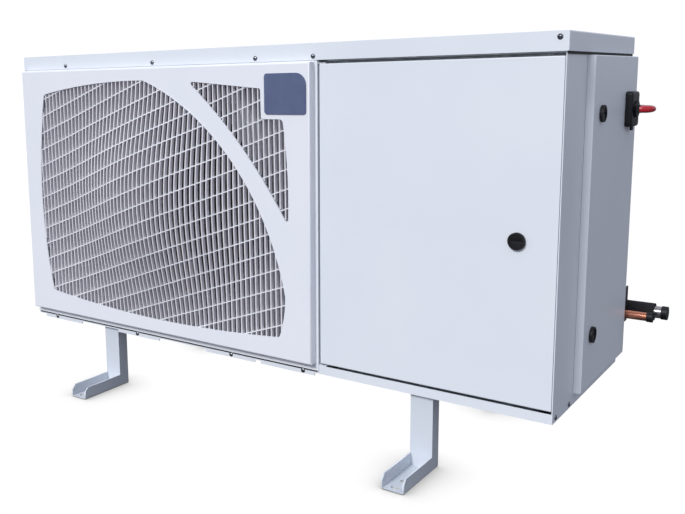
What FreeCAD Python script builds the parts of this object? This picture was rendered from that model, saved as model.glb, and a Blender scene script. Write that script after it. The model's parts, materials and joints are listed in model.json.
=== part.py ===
import FreeCAD, Part
import math
import os
import re

import Sketcher
from FreeCAD import Placement, Rotation, Vector

# Refrigeration condensing unit: a low steel cabinet on four folded feet.
#
# The left half holds an axial fan behind a domed moulded grille, and the right half holds
# the compressor behind a hinged door and a lift-off side cover.  X runs along the front to
# the right, Y runs into the depth and Z is up.  The origin is on the floor, at the centre
# of the rectangle of foot slots.  All sizes are millimetres.

SIZES = {
    # cabinet
    "case_left": -600.5,
    "case_front": -184.25,
    "leg_height": 134,
    "case_length": 1193,
    "case_depth": 368.5,
    "case_height": 591.5,
    "sheet": 1.5,
    # base pan
    "base_flange": 16,
    "tab_length": 122,
    "tab_first": 84,
    "tab_second": 320,
    "tab_third": 568.5,
    "tab_fourth": 704,
    "tab_drop": 5.5,
    # lid
    "lid_overhang": 3.6,
    "lid_flange": 29.4,
    # feet
    "leg_pitch": 744,
    "leg_set_back": 10,
    "leg_width": 41,
    "leg_flange": 27,
    "leg_sheet": 2.5,
    "foot_length": 106,
    "foot_flange": 25,
    "foot_chamfer": 10,
    "slot_reach": 93,
    "slot_width": 9,
    "slot_length": 16,
    "hole_reach": 64,
    "foot_hole": 5.5,
    # fan panel
    "panel_left": 4.5,
    "panel_right": 768.5,
    "panel_bottom": 19.5,
    "panel_top": 560.5,
    "panel_rise": 18,
    "panel_wall": 3,
    "panel_flange": 2,
    "panel_round": 3,
    "rim_left": 0.3,
    "rim_right": 774.5,
    "rim_bottom": 6,
    "rim_top": 574,
    # grille mouths, measured from the fan axis
    "fan_axis_along": 380,
    "fan_axis_up": 290,
    "mouth_left": 328.5,
    "mouth_right": 333.5,
    "mouth_top": 245.5,
    "mouth_bottom": 242.5,
    "mouth_corner": 8,
    "dome_radius": 285,
    "dome_straight": 70,
    "dome_slope": 11.7,
    "rib_recess": 2,
    "rib_width": 2,
    "rib_depth": 2.4,
    "rib_pitch": 35.5,
    "rib_slope": 19.6,
    "fin_pitch": 11.55,
    "fin_width": 1.6,
    "fin_depth": 14,
    "frame_sheet": 3,
    "rib_root": 1,
    "rib_offset": 1.5,
    "frame_clear": 1.3,
    "fin_root": 3,
    "fin_clear": 0.3,
    # badge plate
    "badge_left": 674,
    "badge_bottom": 470.8,
    "badge_width": 88,
    "badge_height": 72,
    "badge_sheet": 2,
    "badge_round": 22,
    "badge_corner": 6,
    # door
    "door_left": 776.8,
    "door_bottom": 20,
    "door_height": 537,
    "door_depth": 16,
    "door_sheet": 1.2,
    "door_gap": 0.8,
    "hinge_inset": 4.2,
    "hinge_depth": 4.2,
    "hinge_pin": 2.5,
    "hinge_play": 0.05,
    "seal_inset": 6,
    "seal_width": 10,
    "seal_height": 3,
    "stop_width": 28,
    "lip_width": 20,
    # quarter turn latches
    "latch_from_edge": 61,
    "latch_up": 261,
    "latch_head": 13.5,
    "latch_rise": 5,
    "latch_stem": 5,
    "latch_slot": 3,
    "latch_recess": 1.5,
    "latch_play": 0.1,
    "cam_tail": 8,
    "cam_length": 52,
    "cam_width": 14,
    "cam_sheet": 3,
    # side cover
    "cover_front": 102,
    "cover_slant": 6,
    "cover_back": 372,
    "cover_bottom": 19.5,
    "cover_top": 559,
    "cover_rise": 11,
    "cover_gap": 0.3,
    "cover_latch_back": 152,
    "cover_latch_low": 108,
    "cover_latch_high": 468.5,
    "cross_bar": 22,
    "service_front": 174,
    "service_back": 350,
    "service_bottom": 45,
    "service_top": 535,
    # isolator switch
    "switch_back": 320,
    "switch_up": 469.5,
    "switch_width": 48,
    "switch_height": 60,
    "switch_depth": 12,
    "lever_length": 44,
    "lever_width": 13,
    "lever_rise": 21,
    "collar_radius": 14,
    "collar_rise": 3,
    "root_length": 30,
    "root_rise": 7,
    "spindle": 4,
    "switch_bevel": 1,
    "block_depth": 34,
    "block_width": 44,
    "block_height": 56,
    # fan
    "fan_radius": 238,
    "hub_radius": 48,
    "hub_depth": 40,
    "hub_front": 24,
    "blade_sheet": 3,
    "blade_chord": 148,
    "blade_root": 84,
    "blade_count": 4,
    "tip_angle": 14,
    "root_angle": 26,
    "ring_gap": 12,
    "ring_sheet": 1.5,
    "ring_depth": 44,
    "ring_front": 16,
    "shaft_radius": 6,
    "shaft_play": 0.05,
    "motor_front": 76,
    "motor_depth": 96,
    "motor_radius": 66,
    "rail_spread": 100,
    "rail_width": 24,
    "rail_depth": 16,
    "cross_plate": 62,
    # centre post and partition
    "post_left": 757,
    "post_right": 774,
    "post_depth": 30,
    # condenser coil
    "coil_left": 32,
    "coil_right": 748,
    "coil_front": 322,
    "coil_depth": 36,
    "coil_height": 575,
    "coil_tubes": 8,
    "coil_bend": 17,
    "coil_lift": 8,
    "coil_core": 20,
    "coil_fin_pitch": 8,
    "coil_fin": 1,
    "bend_back": 331,
    "coil_tube": 4.8,
    "guard_wire": 3,
    # compressor
    "shell_along": 890,
    "shell_back": 180,
    "shell_radius": 105,
    "shell_dome": 70,
    "shell_height": 340,
    "terminal_width": 64,
    "terminal_height": 80,
    "terminal_depth": 28,
    "terminal_up": 150,
    "shell_band": 4,
    "foot_plate": 3,
    "foot_spread": 170,
    "foot_edge": 20,
    "bolt_radius": 4,
    "bolt_head": 7.5,
    "bolt_rise": 5.5,
    "grommet_radius": 16,
    "grommet_height": 26,
    # receiver and drier
    "receiver_along": 1130,
    "receiver_back": 235,
    "receiver_radius": 55,
    "receiver_foot": 18,
    "receiver_dome": 24,
    "receiver_height": 330,
    "drier_radius": 18,
    "drier_length": 100,
    "receiver_inlet": 1110,
    "drier_along": 850,
    # electric box
    "electric_left": 830,
    "electric_front": 30,
    "electric_width": 345,
    "electric_depth": 118,
    "electric_bottom": 425,
    "electric_height": 140,
    "pressure_front": 36,
    "pressure_up": 310,
    "pressure_width": 38,
    # pipes inside
    "discharge_radius": 6.35,
    "discharge_up": 280,
    "pipe_back": 347,
    "pipe_high": 500,
    "pipe_low": 60,
    "bend_small": 20,
    "bend_large": 33,
    "suction_inlet": 200,
    # outside pipes
    "liquid_back": 394,
    "liquid_up": 86.7,
    "liquid_radius": 7.94,
    "liquid_end": 1243.5,
    "suction_back": 420,
    "suction_up": 91.5,
    "suction_radius": 11.1,
    "sleeve_radius": 16,
    "suction_exit": 1036,
    "sleeve_end": 1245,
    "stub_end": 1263,
    "cap_length": 8,
    "cap_cover": 6,
    "cap_wall": 1.4,
    "clip_sheet": 2.5,
    "clip_reach": 438,
    "clip_foot": 1150,
    "sleeve_start": 230,
    "grommet_wall": 3,
    "grommet_lip": 3,
    "bracket_along": 1190.5,
    "bracket_top": 131,
    "bracket_bottom": 64,
    # screws
    "screw_head": 4.5,
    "screw_rise": 2.5,
    "screw_shank": 2,
    "screw_length": 6,
    "lid_screw_first": 136.3,
    "lid_screw_second": 390.9,
    "lid_screw_third": 644,
    "lid_screw_fourth": 767,
    "lid_screw_fifth": 1183.2,
    "lid_screw_up": 570,
    "lid_screw_high": 583.9,
    "tab_screw_first": 62.5,
    "tab_screw_second": 317.3,
    "tab_screw_third": 571.5,
    "tab_screw_fourth": 739.6,
    "side_screw_near": 15,
    "side_screw_far": 82,
    "side_screw_up": 8,
    "rail_bottom": 561.5,
    "rail_start": 795,
}

doc = FreeCAD.newDocument("CondensingUnit")
sizes = doc.addObject("Spreadsheet::Sheet", "Sizes")
for row, (alias, number) in enumerate(SIZES.items(), start=1):
    sizes.set(f"A{row}", alias.replace("_", " "))
    sizes.set(f"B{row}", str(number))
    sizes.setAlias(f"B{row}", alias)
doc.recompute()

gauge = doc.addObject("Part::Vertex", "Gauge")
pieces = []

LEFT = "case_left"
FRONT = "case_front"
BASE = "leg_height"
RIGHT = "case_left + case_length"
BACK = "case_front + case_depth"
TOP = "leg_height + case_height"
FAN_X = "case_left + fan_axis_along"
FAN_Z = "leg_height + fan_axis_up"
DOOR_RIGHT = "case_left + case_length - sheet - door_gap"


def on_sheet(text):
    """Turn plain size names into references to the cells of the sheet."""
    return re.sub(r"\b([a-z][a-z_]+)\b(?!\()", r"Sizes.\1", text)


def bind(thing, prop, text):
    """Tie one property of an object to sizes on the sheet."""
    thing.setExpression(prop, on_sheet(text))


def value(text):
    """Read what a formula on the sheet comes to, for shapes worked out in code."""
    bind(gauge, "X", text)
    gauge.recompute()
    return gauge.X.Value


def spot(x, y, z):
    """A point whose three places are formulas on the sheet."""
    return Vector(value(x), value(y), value(z))


def keep(thing, label):
    """Name a finished piece and list it for export."""
    thing.Label = label
    pieces.append(thing)
    return thing


def place(thing, x, y, z):
    """Tie an object's place to the sheet."""
    for axis, text in zip("xyz", (x, y, z)):
        bind(thing, f".Placement.Base.{axis}", text)
    return thing


def box(name, x, y, z, along, deep, tall):
    """A block with its low corner at x, y, z."""
    block = doc.addObject("Part::Box", name)
    for prop, text in (("Length", along), ("Width", deep), ("Height", tall)):
        bind(block, prop, text)
    return place(block, x, y, z)


def rod(name, x, y, z, radius, length, axis="Z"):
    """A round bar that starts at x, y, z and runs along an axis."""
    bar = doc.addObject("Part::Cylinder", name)
    bind(bar, "Radius", radius)
    bind(bar, "Height", length)
    turn = {"X": Rotation(Vector(0, 1, 0), 90), "Y": Rotation(Vector(1, 0, 0), -90), "Z": Rotation()}
    bar.Placement = Placement(Vector(), turn[axis])
    return place(bar, x, y, z)


def fuse(name, parts):
    """Join solids into one."""
    joined = doc.addObject("Part::MultiFuse", name)
    joined.Shapes = parts
    joined.Refine = True
    return joined


def cut(name, base, tools):
    """Take one or more solids out of another."""
    tool = tools[0] if len(tools) == 1 else fuse(name + "Tools", tools)
    result = doc.addObject("Part::Cut", name)
    result.Base = base
    result.Tool = tool
    result.Refine = True
    return result


def group(name, parts):
    """Keep separate solids together as one piece, such as a set of screws."""
    together = doc.addObject("Part::Compound", name)
    together.Links = parts
    return together


def feature(name, shape):
    """A piece whose shape is worked out in code."""
    made = doc.addObject("Part::Feature", name)
    made.Shape = shape
    return made


def body_with(name, x, y, z):
    """A part design body whose own origin lies at x, y, z."""
    body = doc.addObject("PartDesign::Body", name)
    return place(body, x, y, z)


def sketch_in(body, role, name, offset=None):
    """A sketch on one of the body's origin planes, lifted along its normal if asked."""
    plane = next(p for p in body.Origin.OriginFeatures if p.Role == role)
    sketch = body.newObject("Sketcher::SketchObject", name)
    sketch.AttachmentSupport = [(plane, "")]
    sketch.MapMode = "FlatFace"
    if offset:
        bind(sketch, ".AttachmentOffset.Base.z", offset)
    return sketch


def tie_point(sketch, line, end, x, y):
    """Tie one end of a sketch line to two formulas."""
    for kind, axis, text in (("DistanceX", -2, x), ("DistanceY", -1, y)):
        if text == "0":
            sketch.addConstraint(Sketcher.Constraint("PointOnObject", line, end, axis))
            continue
        number = sketch.addConstraint(Sketcher.Constraint(kind, -1, 1, line, end, value(text)))
        bind(sketch, f"Constraints[{number}]", text)


def polygon(sketch, corners):
    """A closed outline of straight lines through corners given as formulas."""
    places = [Vector(value(x), value(y), 0) for x, y in corners]
    lines = []
    for start, end in zip(places, places[1:] + places[:1]):
        lines.append(sketch.addGeometry(Part.LineSegment(start, end), False))
    for line, after in zip(lines, lines[1:] + lines[:1]):
        sketch.addConstraint(Sketcher.Constraint("Coincident", line, 2, after, 1))
    for line, (x, y) in zip(lines, corners):
        tie_point(sketch, line, 1, x, y)


def circle(sketch, x, y, radius):
    """A circle whose centre and radius are formulas."""
    ring = Part.Circle(Vector(value(x), value(y), 0), Vector(0, 0, 1), value(radius))
    number = sketch.addGeometry(ring, False)
    tie_point(sketch, number, 3, x, y)
    size = sketch.addConstraint(Sketcher.Constraint("Radius", number, value(radius)))
    bind(sketch, f"Constraints[{size}]", radius)


def pad(body, sketch, length, reverse=False):
    """Raise a sketch into a solid."""
    raised = body.newObject("PartDesign::Pad", sketch.Name + "Pad")
    raised.Profile = sketch
    raised.Reversed = reverse
    bind(raised, "Length", length)
    return raised


def pocket(body, sketch, length=None, reverse=False):
    """Cut a sketch into the body, through all of it when no depth is given."""
    hollow = body.newObject("PartDesign::Pocket", sketch.Name + "Pocket")
    hollow.Profile = sketch
    hollow.Reversed = reverse
    if length:
        bind(hollow, "Length", length)
    else:
        hollow.Type = 1
        hollow.Midplane = True
    return hollow


def turned(name, label, x, y, z, corners, axis="Z"):
    """A turned piece: the half outline (radius, height) spun about its own axis."""
    body = body_with(name, x, y, z)
    turn = {"X": Rotation(Vector(0, 1, 0), 90), "Y": Rotation(Vector(1, 0, 0), -90), "Z": Rotation()}
    body.Placement = Placement(body.Placement.Base, turn[axis])
    sketch = sketch_in(body, "XZ_Plane", name + "Outline")
    polygon(sketch, corners)
    spun = body.newObject("PartDesign::Revolution", name + "Turn")
    spun.Profile = sketch
    spun.ReferenceAxis = (sketch, ["V_Axis"])
    spun.Angle = 360
    doc.recompute()
    return keep(body, label) if label else body


SCREWS = {
    "Lid": [("lid_screw_first", "lid_screw_up"), ("lid_screw_second", "lid_screw_up"),
            ("lid_screw_third", "lid_screw_up"), ("lid_screw_fourth", "lid_screw_up"),
            ("lid_screw_fifth", "lid_screw_high")],
    "Tab": [("tab_screw_first", "0"), ("tab_screw_second", "0"), ("tab_screw_third", "0"),
            ("tab_screw_fourth", "0")],
    "Side": [("side_screw_near", "side_screw_up"), ("side_screw_far", "side_screw_up")],
}


def screw_start(family, along, up):
    """Where the underside of a screw head sits, and which way the screw runs."""
    if family == "Side":
        return (f"{RIGHT}", f"{FRONT} + {along}", f"{BASE} + {up}"), "X"
    front = f"{FRONT} - lid_overhang" if family == "Lid" else FRONT
    return (f"{LEFT} + {along}", front, f"{BASE} + {up}"), "Y"


def shanks(family):
    """Round bars the size of the screw shanks, used to make the screws and their holes."""
    bars = []
    for along, up in SCREWS[family]:
        (x, y, z), axis = screw_start(family, along, up)
        if axis == "X":
            x = f"{x} - screw_length"
        bars.append(rod(f"{family}Shank", x, y, z, "screw_shank", "screw_length", axis))
    return bars


def screws(family, label):
    """A set of round headed screws with a recess in each head."""
    made = []
    for (along, up), shank in zip(SCREWS[family], shanks(family)):
        (x, y, z), axis = screw_start(family, along, up)
        y_head = y if axis == "X" else f"{y} - screw_rise"
        head = rod(f"{family}Head", x, y_head, z, "screw_head", "screw_rise", axis)
        deep = (f"{x} + screw_rise / 2", y, z) if axis == "X" else (x, f"{y} - 3 * screw_rise / 2", z)
        recess = rod(f"{family}Recess", *deep, "screw_shank", "screw_rise", axis)
        made.append(cut(f"{family}Screw", fuse(f"{family}Solid", [head, shank]), [recess]))
    keep(group(family + "Screws", made), label)


def leg_bolt_places():
    """The four places where a leg is bolted under the base pan."""
    deep = "leg_set_back + leg_flange - bolt_head - cover_gap"
    return [(side + "leg_pitch / 2", y) for side in ("-", "")
            for y in (f"{FRONT} + {deep}", f"{BACK} - ({deep})")]


def leg_bolt_bars(name):
    """Round bars for the leg bolts or their holes."""
    return [rod(name, x, y, f"{BASE} - leg_sheet", "bolt_radius", "leg_sheet + sheet")
            for x, y in leg_bolt_places()]


def leg_bolts():
    """Four bolts that hold the legs under the base pan."""
    made = []
    for (x, y), bar in zip(leg_bolt_places(), leg_bolt_bars("LegBolt")):
        head = hexagon("LegBoltHead", x, y, f"{BASE} + sheet", "bolt_head", "bolt_rise")
        nut = hexagon("LegBoltNut", x, y, f"{BASE} - leg_sheet - bolt_rise", "bolt_head", "bolt_rise")
        made.append(fuse("LegBoltWhole", [head, bar, nut]))
    keep(group("LegBolts", made), "leg_bolts")


def hexagon(name, x, y, z, radius, height):
    """A six sided head or nut."""
    prism = doc.addObject("Part::Prism", name)
    prism.Polygon = 6
    bind(prism, "Circumradius", radius)
    bind(prism, "Height", height)
    return place(prism, x, y, z)


def base_pan():
    """Folded steel tray that carries everything, with four screw tabs under the fan panel."""
    inner_left = f"{LEFT} + sheet"
    inner_length = "case_length - 2 * sheet"
    inner_depth = "case_depth - sheet"
    block = box("PanBlock", inner_left, FRONT, BASE, inner_length, inner_depth, "base_flange")
    hollow = box("PanHollow", f"{LEFT} + 2 * sheet", f"{FRONT} + sheet", f"{BASE} + sheet",
                 "case_length - 4 * sheet", "case_depth - 3 * sheet", "base_flange")
    tray = cut("PanTray", block, [hollow])
    tabs = []
    for name in ("first", "second", "third", "fourth"):
        tabs.append(box(f"PanTab{name.title()}", f"{LEFT} + tab_{name} - tab_length / 2", FRONT,
                        f"{BASE} - tab_drop", "tab_length", "sheet", "tab_drop + sheet"))
    whole = fuse("PanFolded", [tray] + tabs)
    keep(cut("BasePan", whole, shanks("Tab") + shanks("Side") + leg_bolt_bars("PanBolt")), "base_pan")


def lid():
    """Top cover: a shallow folded tray turned over, standing proud of the walls all round."""
    outer = box("LidOuter", f"{LEFT} - lid_overhang", f"{FRONT} - lid_overhang",
                f"{TOP} + sheet - lid_flange", "case_length + 2 * lid_overhang",
                "case_depth + 2 * lid_overhang", "lid_flange")
    inner = box("LidInner", f"{LEFT} - lid_overhang + sheet", f"{FRONT} - lid_overhang + sheet",
                f"{TOP} - lid_flange", "case_length + 2 * lid_overhang - 2 * sheet",
                "case_depth + 2 * lid_overhang - 2 * sheet", "lid_flange")
    keep(cut("Lid", cut("LidTray", outer, [inner]), shanks("Lid")), "lid")


def leg(name, label, along, side):
    """Folded foot: an upright channel, a floor channel that reaches outwards and a top plate."""
    body = body_with(name, along, side_place(side), "0")
    body.Placement = Placement(body.Placement.Base, Rotation(Vector(0, 0, 1), 0 if side < 0 else 180))
    half = "leg_width / 2"
    post = sketch_in(body, "XY_Plane", name + "Post")
    polygon(post, [(f"-{half}", "0"), (half, "0"), (half, "leg_flange"),
                   (f"{half} - leg_sheet", "leg_flange"), (f"{half} - leg_sheet", "leg_sheet"),
                   (f"leg_sheet - {half}", "leg_sheet"), (f"leg_sheet - {half}", "leg_flange"),
                   (f"-{half}", "leg_flange")])
    pad(body, post, "leg_height")
    for spot_name, height in (("Floor", None), ("Cap", "leg_height - leg_sheet")):
        plate = sketch_in(body, "XY_Plane", name + spot_name, height)
        front = "-foot_length" if spot_name == "Floor" else "0"
        back = "leg_sheet" if spot_name == "Floor" else "leg_flange"
        polygon(plate, [(f"-{half}", front), (half, front), (half, back), (f"-{half}", back)])
        pad(body, plate, "leg_sheet")
    for hand in ("", "-"):
        low = half if hand == "" else f"-{half}"
        sheet_in = f"{half} - leg_sheet"
        wall = sketch_in(body, "YZ_Plane", name + ("Right" if hand == "" else "Left"),
                         sheet_in if hand == "" else f"-{half}")
        polygon(wall, [("0", "0"), ("0", "foot_flange"), ("foot_chamfer - foot_length", "foot_flange"),
                       ("-foot_length", "foot_flange - foot_chamfer"), ("-foot_length", "0")])
        pad(body, wall, "leg_sheet")
    straight = "(slot_length - slot_width) / 2"
    for hole, x, y, radius in (("Hole", "0", "-hole_reach", "foot_hole"),
                               ("SlotLeft", f"-{straight}", "-slot_reach", "slot_width / 2"),
                               ("SlotRight", straight, "-slot_reach", "slot_width / 2")):
        drilled = sketch_in(body, "XY_Plane", name + hole)
        circle(drilled, x, y, radius)
        pocket(body, drilled, "leg_sheet", reverse=True)
    bolt_hole = sketch_in(body, "XY_Plane", name + "BoltHole", "leg_height")
    circle(bolt_hole, "0", "leg_flange - bolt_head - cover_gap", "bolt_radius")
    pocket(body, bolt_hole, "leg_sheet")
    middle = sketch_in(body, "XY_Plane", name + "SlotMiddle")
    polygon(middle, [(f"-{straight}", "-slot_reach - slot_width / 2"),
                     (straight, "-slot_reach - slot_width / 2"),
                     (straight, "slot_width / 2 - slot_reach"),
                     (f"-{straight}", "slot_width / 2 - slot_reach")])
    pocket(body, middle, "leg_sheet", reverse=True)
    doc.recompute()
    keep(body, label)


def side_place(side):
    """Where the web of a front or rear leg stands."""
    return f"{FRONT} + leg_set_back" if side < 0 else f"{BACK} - leg_set_back"


def legs():
    """Four equal folded feet, the rear pair turned to face backwards."""
    for name, label, along, side in (
            ("LegFrontLeft", "leg_front_left", "-leg_pitch / 2", -1),
            ("LegFrontRight", "leg_front_right", "leg_pitch / 2", -1),
            ("LegRearLeft", "leg_rear_left", "-leg_pitch / 2", 1),
            ("LegRearRight", "leg_rear_right", "leg_pitch / 2", 1)):
        leg(name, label, along, side)


def left_panel():
    """Left wall with a narrow return at the front, behind the fan panel."""
    wall = box("LeftWall", LEFT, FRONT, BASE, "sheet", "case_depth", "case_height")
    lip = box("LeftLip", LEFT, FRONT, f"{BASE} + base_flange", "base_flange", "sheet",
              "case_height - base_flange")
    keep(fuse("LeftPanel", [wall, lip]), "left_panel")


def right_panel():
    """Right wall with the service opening, two keyholes and the door stop."""
    inner = f"{RIGHT} - sheet"
    wall = box("RightWall", inner, FRONT, BASE, "sheet", "case_depth", "case_height")
    stop = box("RightStop", f"{RIGHT} - stop_width", f"{FRONT} + door_depth + seal_height + cover_gap",
               f"{BASE} + base_flange", "stop_width", "sheet", "case_height - base_flange")
    opening = box("ServiceOpening", f"{inner} - sheet", f"{FRONT} + service_front",
                  f"{BASE} + service_bottom", "3 * sheet", "service_back - service_front",
                  "service_top - service_bottom")
    cuts = [opening] + shanks("Side")
    for name, height in (("Low", "cover_latch_low"), ("High", "cover_latch_high")):
        middle = f"{FRONT} + cover_latch_back"
        cuts.append(rod("Keyhole" + name, f"{inner} - sheet", middle, f"{BASE} + {height}",
                        "latch_stem + cover_gap", "3 * sheet", "X"))
        cuts.append(box("KeySlot" + name, f"{inner} - sheet",
                        f"{middle} - cross_bar / 2 - cover_gap",
                        f"{BASE} + {height} - cam_sheet - cover_gap", "3 * sheet",
                        "cross_bar + 2 * cover_gap", "2 * (cam_sheet + cover_gap)"))
    keep(cut("RightPanel", fuse("RightFolded", [wall, stop]), cuts), "right_panel")


def rear_panel():
    """Rear wall of the compressor room, with two holes for the refrigerant lines."""
    post = f"{LEFT} + post_right"
    wall = box("RearWall", f"{post} - sheet", f"{BACK} - sheet", BASE,
               "case_length - post_right", "sheet", "case_height")
    holes = []
    for name, along, up, radius in (
            ("Liquid", "receiver_along", "liquid_up", "liquid_radius + grommet_wall"),
            ("Suction", "suction_exit", "suction_up", "sleeve_radius + grommet_wall")):
        holes.append(rod(name + "Hole", f"{LEFT} + {along}", f"{BACK} - 2 * sheet", f"{BASE} + {up}",
                         radius, "3 * sheet", "Y"))
    keep(cut("RearPanel", wall, holes), "rear_panel")


def centre_post():
    """Front post between the two rooms: a channel open to the back."""
    height = "case_height - base_flange"
    foot = f"{BASE} + base_flange"
    web = box("PostWeb", f"{LEFT} + post_left", FRONT, foot, "post_right - post_left", "sheet", height)
    outer = box("PostLeft", f"{LEFT} + post_left", FRONT, foot, "sheet", "post_depth", height)
    inner = box("PostRight", f"{LEFT} + post_right - sheet", FRONT, foot, "sheet", "post_depth", height)
    stop = box("PostStop", f"{LEFT} + post_right - sheet",
               f"{FRONT} + door_depth + seal_height + cover_gap", foot, "stop_width", "sheet", height)
    keep(cut("CentrePost", fuse("PostFolded", [web, outer, inner, stop]), shanks("Lid")), "centre_post")


def partition():
    """Sheet between the fan room and the compressor room."""
    wall = box("PartitionWall", f"{LEFT} + post_right - sheet", f"{FRONT} + post_depth",
               f"{BASE} + sheet", "sheet", "case_depth - post_depth - 2 * sheet", "case_height - sheet")
    hole = rod("PartitionHole", f"{LEFT} + post_right - 2 * sheet", f"{FRONT} + pipe_back",
               f"{BASE} + pipe_high", "discharge_radius + grommet_wall", "3 * sheet", "X")
    low = rod("PartitionLow", f"{LEFT} + post_right - 2 * sheet", f"{FRONT} + pipe_back",
              f"{BASE} + pipe_low", "liquid_radius + grommet_wall", "3 * sheet", "X")
    keep(cut("Partition", wall, [hole, low]), "partition")


def mouth_prism(grow, front, depth):
    """Both grille mouths as solid prisms, their outlines grown by a margin."""
    centre_x = value(FAN_X)
    centre_z = value(FAN_Z)
    left, right = value("mouth_left"), value("mouth_right")
    top, bottom = value("mouth_top"), value("mouth_bottom")
    corner = value("mouth_corner")
    start = value(front)
    length = value(depth)

    def at(along, up):
        return Vector(centre_x + along, start, centre_z + up)

    def prism(edges, rounds):
        face = Part.Face(Part.Wire(edges))
        if grow:
            face = Part.Face(Part.Wire(edges).makeOffset2D(grow))
            return face.extrude(Vector(0, length, 0))
        solid = face.extrude(Vector(0, length, 0))
        for point, radius in rounds:
            for edge in solid.Edges:
                ends = [v.Point for v in edge.Vertexes]
                upright = len(ends) == 2 and abs(ends[0].x - ends[1].x) + abs(ends[0].z - ends[1].z) < 1e-6
                if upright and abs(ends[0].x - point.x) + abs(ends[0].z - point.z) < 1e-3:
                    solid = solid.makeFillet(radius, [edge])
                    break
        return solid

    top_left = at(25 - left, top - 26)
    peak = at(-4, top)
    far_right = at(right, -150)
    low_right = at(right - 14, 14 - bottom - 1)
    low_left = at(24 - left, 21 - bottom)
    main = prism([
        Part.Arc(top_left, at(-152, top - 5.5), peak).toShape(),
        Part.Arc(peak, at(right - 140, 117), far_right).toShape(),
        Part.Arc(far_right, at(right - 3, -190), low_right).toShape(),
        Part.Arc(low_right, at(20, -bottom), low_left).toShape(),
        Part.Arc(low_left, at(-left, -20), top_left).toShape(),
    ], [(top_left, corner), (low_right, corner), (low_left, corner)])

    tip = at(113, 242)
    shoulder = at(284, 226.5)
    notch = at(285, 172)
    ledge = at(right - 2, 172)
    low_tip = at(right + 8, -20)
    side = prism([
        Part.LineSegment(tip, shoulder).toShape(),
        Part.LineSegment(shoulder, notch).toShape(),
        Part.LineSegment(notch, ledge).toShape(),
        Part.Arc(ledge, at(right + 8, 75), low_tip).toShape(),
        Part.Arc(low_tip, at(237, 122.5), tip).toShape(),
    ], [(tip, corner / 2), (shoulder, corner / 2), (notch, corner / 2), (ledge, corner),
        (low_tip, corner / 2)])
    return main, side


def dome_layer(front, back):
    """A round layer that follows the dome, flat beyond it, between two depths from the case front."""
    radius = value("dome_radius")
    straight = value("dome_straight")
    angle = math.radians(value("dome_slope"))
    curve = (radius - straight) / 2
    arc = curve / math.sin(angle)
    drop = arc * (1 - math.cos(angle))
    rise = 2 * drop + straight * math.tan(angle)
    half_drop = arc * (1 - math.cos(angle / 2))
    half_run = arc * math.sin(angle / 2)
    reach = radius + value("panel_right - panel_left") / 4
    base = value(FRONT)

    def profile(depth):
        crown = Vector(0, base + depth - rise, 0)
        first = Vector(curve, crown.y + drop, 0)
        second = Vector(curve + straight, first.y + straight * math.tan(angle), 0)
        rim = Vector(radius, base + depth, 0)
        bend = Part.Arc(crown, Vector(half_run, crown.y + half_drop, 0), first)
        sweep = Part.Arc(second, Vector(radius - half_run, rim.y - half_drop, 0), rim)
        edge = Vector(reach, rim.y, 0)
        return crown, edge, [bend.toShape(), Part.LineSegment(first, second).toShape(),
                             sweep.toShape(), Part.LineSegment(rim, edge).toShape()]

    front_crown, front_edge, front_edges = profile(front)
    back_crown, back_edge, back_edges = profile(back)
    closing = [Part.LineSegment(front_edge, back_edge).toShape(),
               Part.LineSegment(back_crown, front_crown).toShape()]
    outline = Part.Wire(Part.__sortEdges__(front_edges + back_edges + closing))
    solid = Part.Face(outline).revolve(Vector(), Vector(0, 1, 0), 360)
    solid.translate(Vector(value(FAN_X), 0, value(FAN_Z)))
    return solid


def fan_panel():
    """Moulded front panel: a raised tray with two curved mouths and the sloping outer ribs."""
    raised = box("PanelRaised", f"{LEFT} + panel_left", f"{FRONT} - panel_rise", f"{BASE} + panel_bottom",
                 "panel_right - panel_left", "panel_rise", "panel_top - panel_bottom")
    doc.recompute()
    soft = doc.addObject("Part::Fillet", "PanelSoft")
    soft.Base = raised
    radius = value("panel_round")
    front = value(f"{FRONT} - panel_rise")
    rounds = []
    for number, edge in enumerate(raised.Shape.Edges, start=1):
        if edge.BoundBox.YMax < front + 0.01:
            rounds.append((number, radius, radius))
    soft.Edges = rounds
    rim = box("PanelRim", f"{LEFT} + rim_left", f"{FRONT} - panel_flange", f"{BASE} + rim_bottom",
              "rim_right - rim_left", "panel_flange", "rim_top - rim_bottom")
    hollow = box("PanelHollow", f"{LEFT} + panel_left + panel_wall", f"{FRONT} - panel_rise + panel_wall",
                 f"{BASE} + panel_bottom + panel_wall", "panel_right - panel_left - 2 * panel_wall",
                 "panel_rise", "panel_top - panel_bottom - 2 * panel_wall")
    doc.recompute()
    bars = shanks("Lid")
    doc.recompute()
    shell = soft.Shape.fuse(rim.Shape).cut(hollow.Shape)
    for bar in bars:
        shell = shell.cut(bar.Shape)
        doc.removeObject(bar.Name)
    main, side = mouth_prism(0, f"{FRONT} - 2 * panel_rise", "3 * panel_rise")
    shell = shell.cut(main).cut(side)

    depth = value("rib_recess - panel_rise")
    layer = dome_layer(depth, depth + value("rib_depth"))
    width = value("panel_right - panel_left")
    slope = value("rib_slope")
    pitch = value("rib_pitch")
    thick = value("rib_width")
    bars = []
    steps = int(width / pitch)
    for step in range(-steps, steps):
        bar = Part.makeBox(2 * width, 200, thick, Vector(-width, -150, -thick / 2))
        bar.rotate(Vector(), Vector(0, 1, 0), -slope)
        bar.translate(Vector(value(FAN_X), value(FRONT), value(FAN_Z) + step * pitch - value("rib_offset")))
        bars.append(bar)
    wide_main, wide_side = mouth_prism(value("rib_root"), f"{FRONT} - 4 * panel_rise", "6 * panel_rise")
    region = layer.common(wide_main.fuse(wide_side))
    ribs = region.common(Part.makeCompound(bars))
    solid = shell.fuse(ribs.Solids).removeSplitter()
    made = feature("FanPanel", solid)
    for helper in (soft, raised, rim, hollow):
        doc.removeObject(helper.Name)
    keep(made, "fan_panel")


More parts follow.
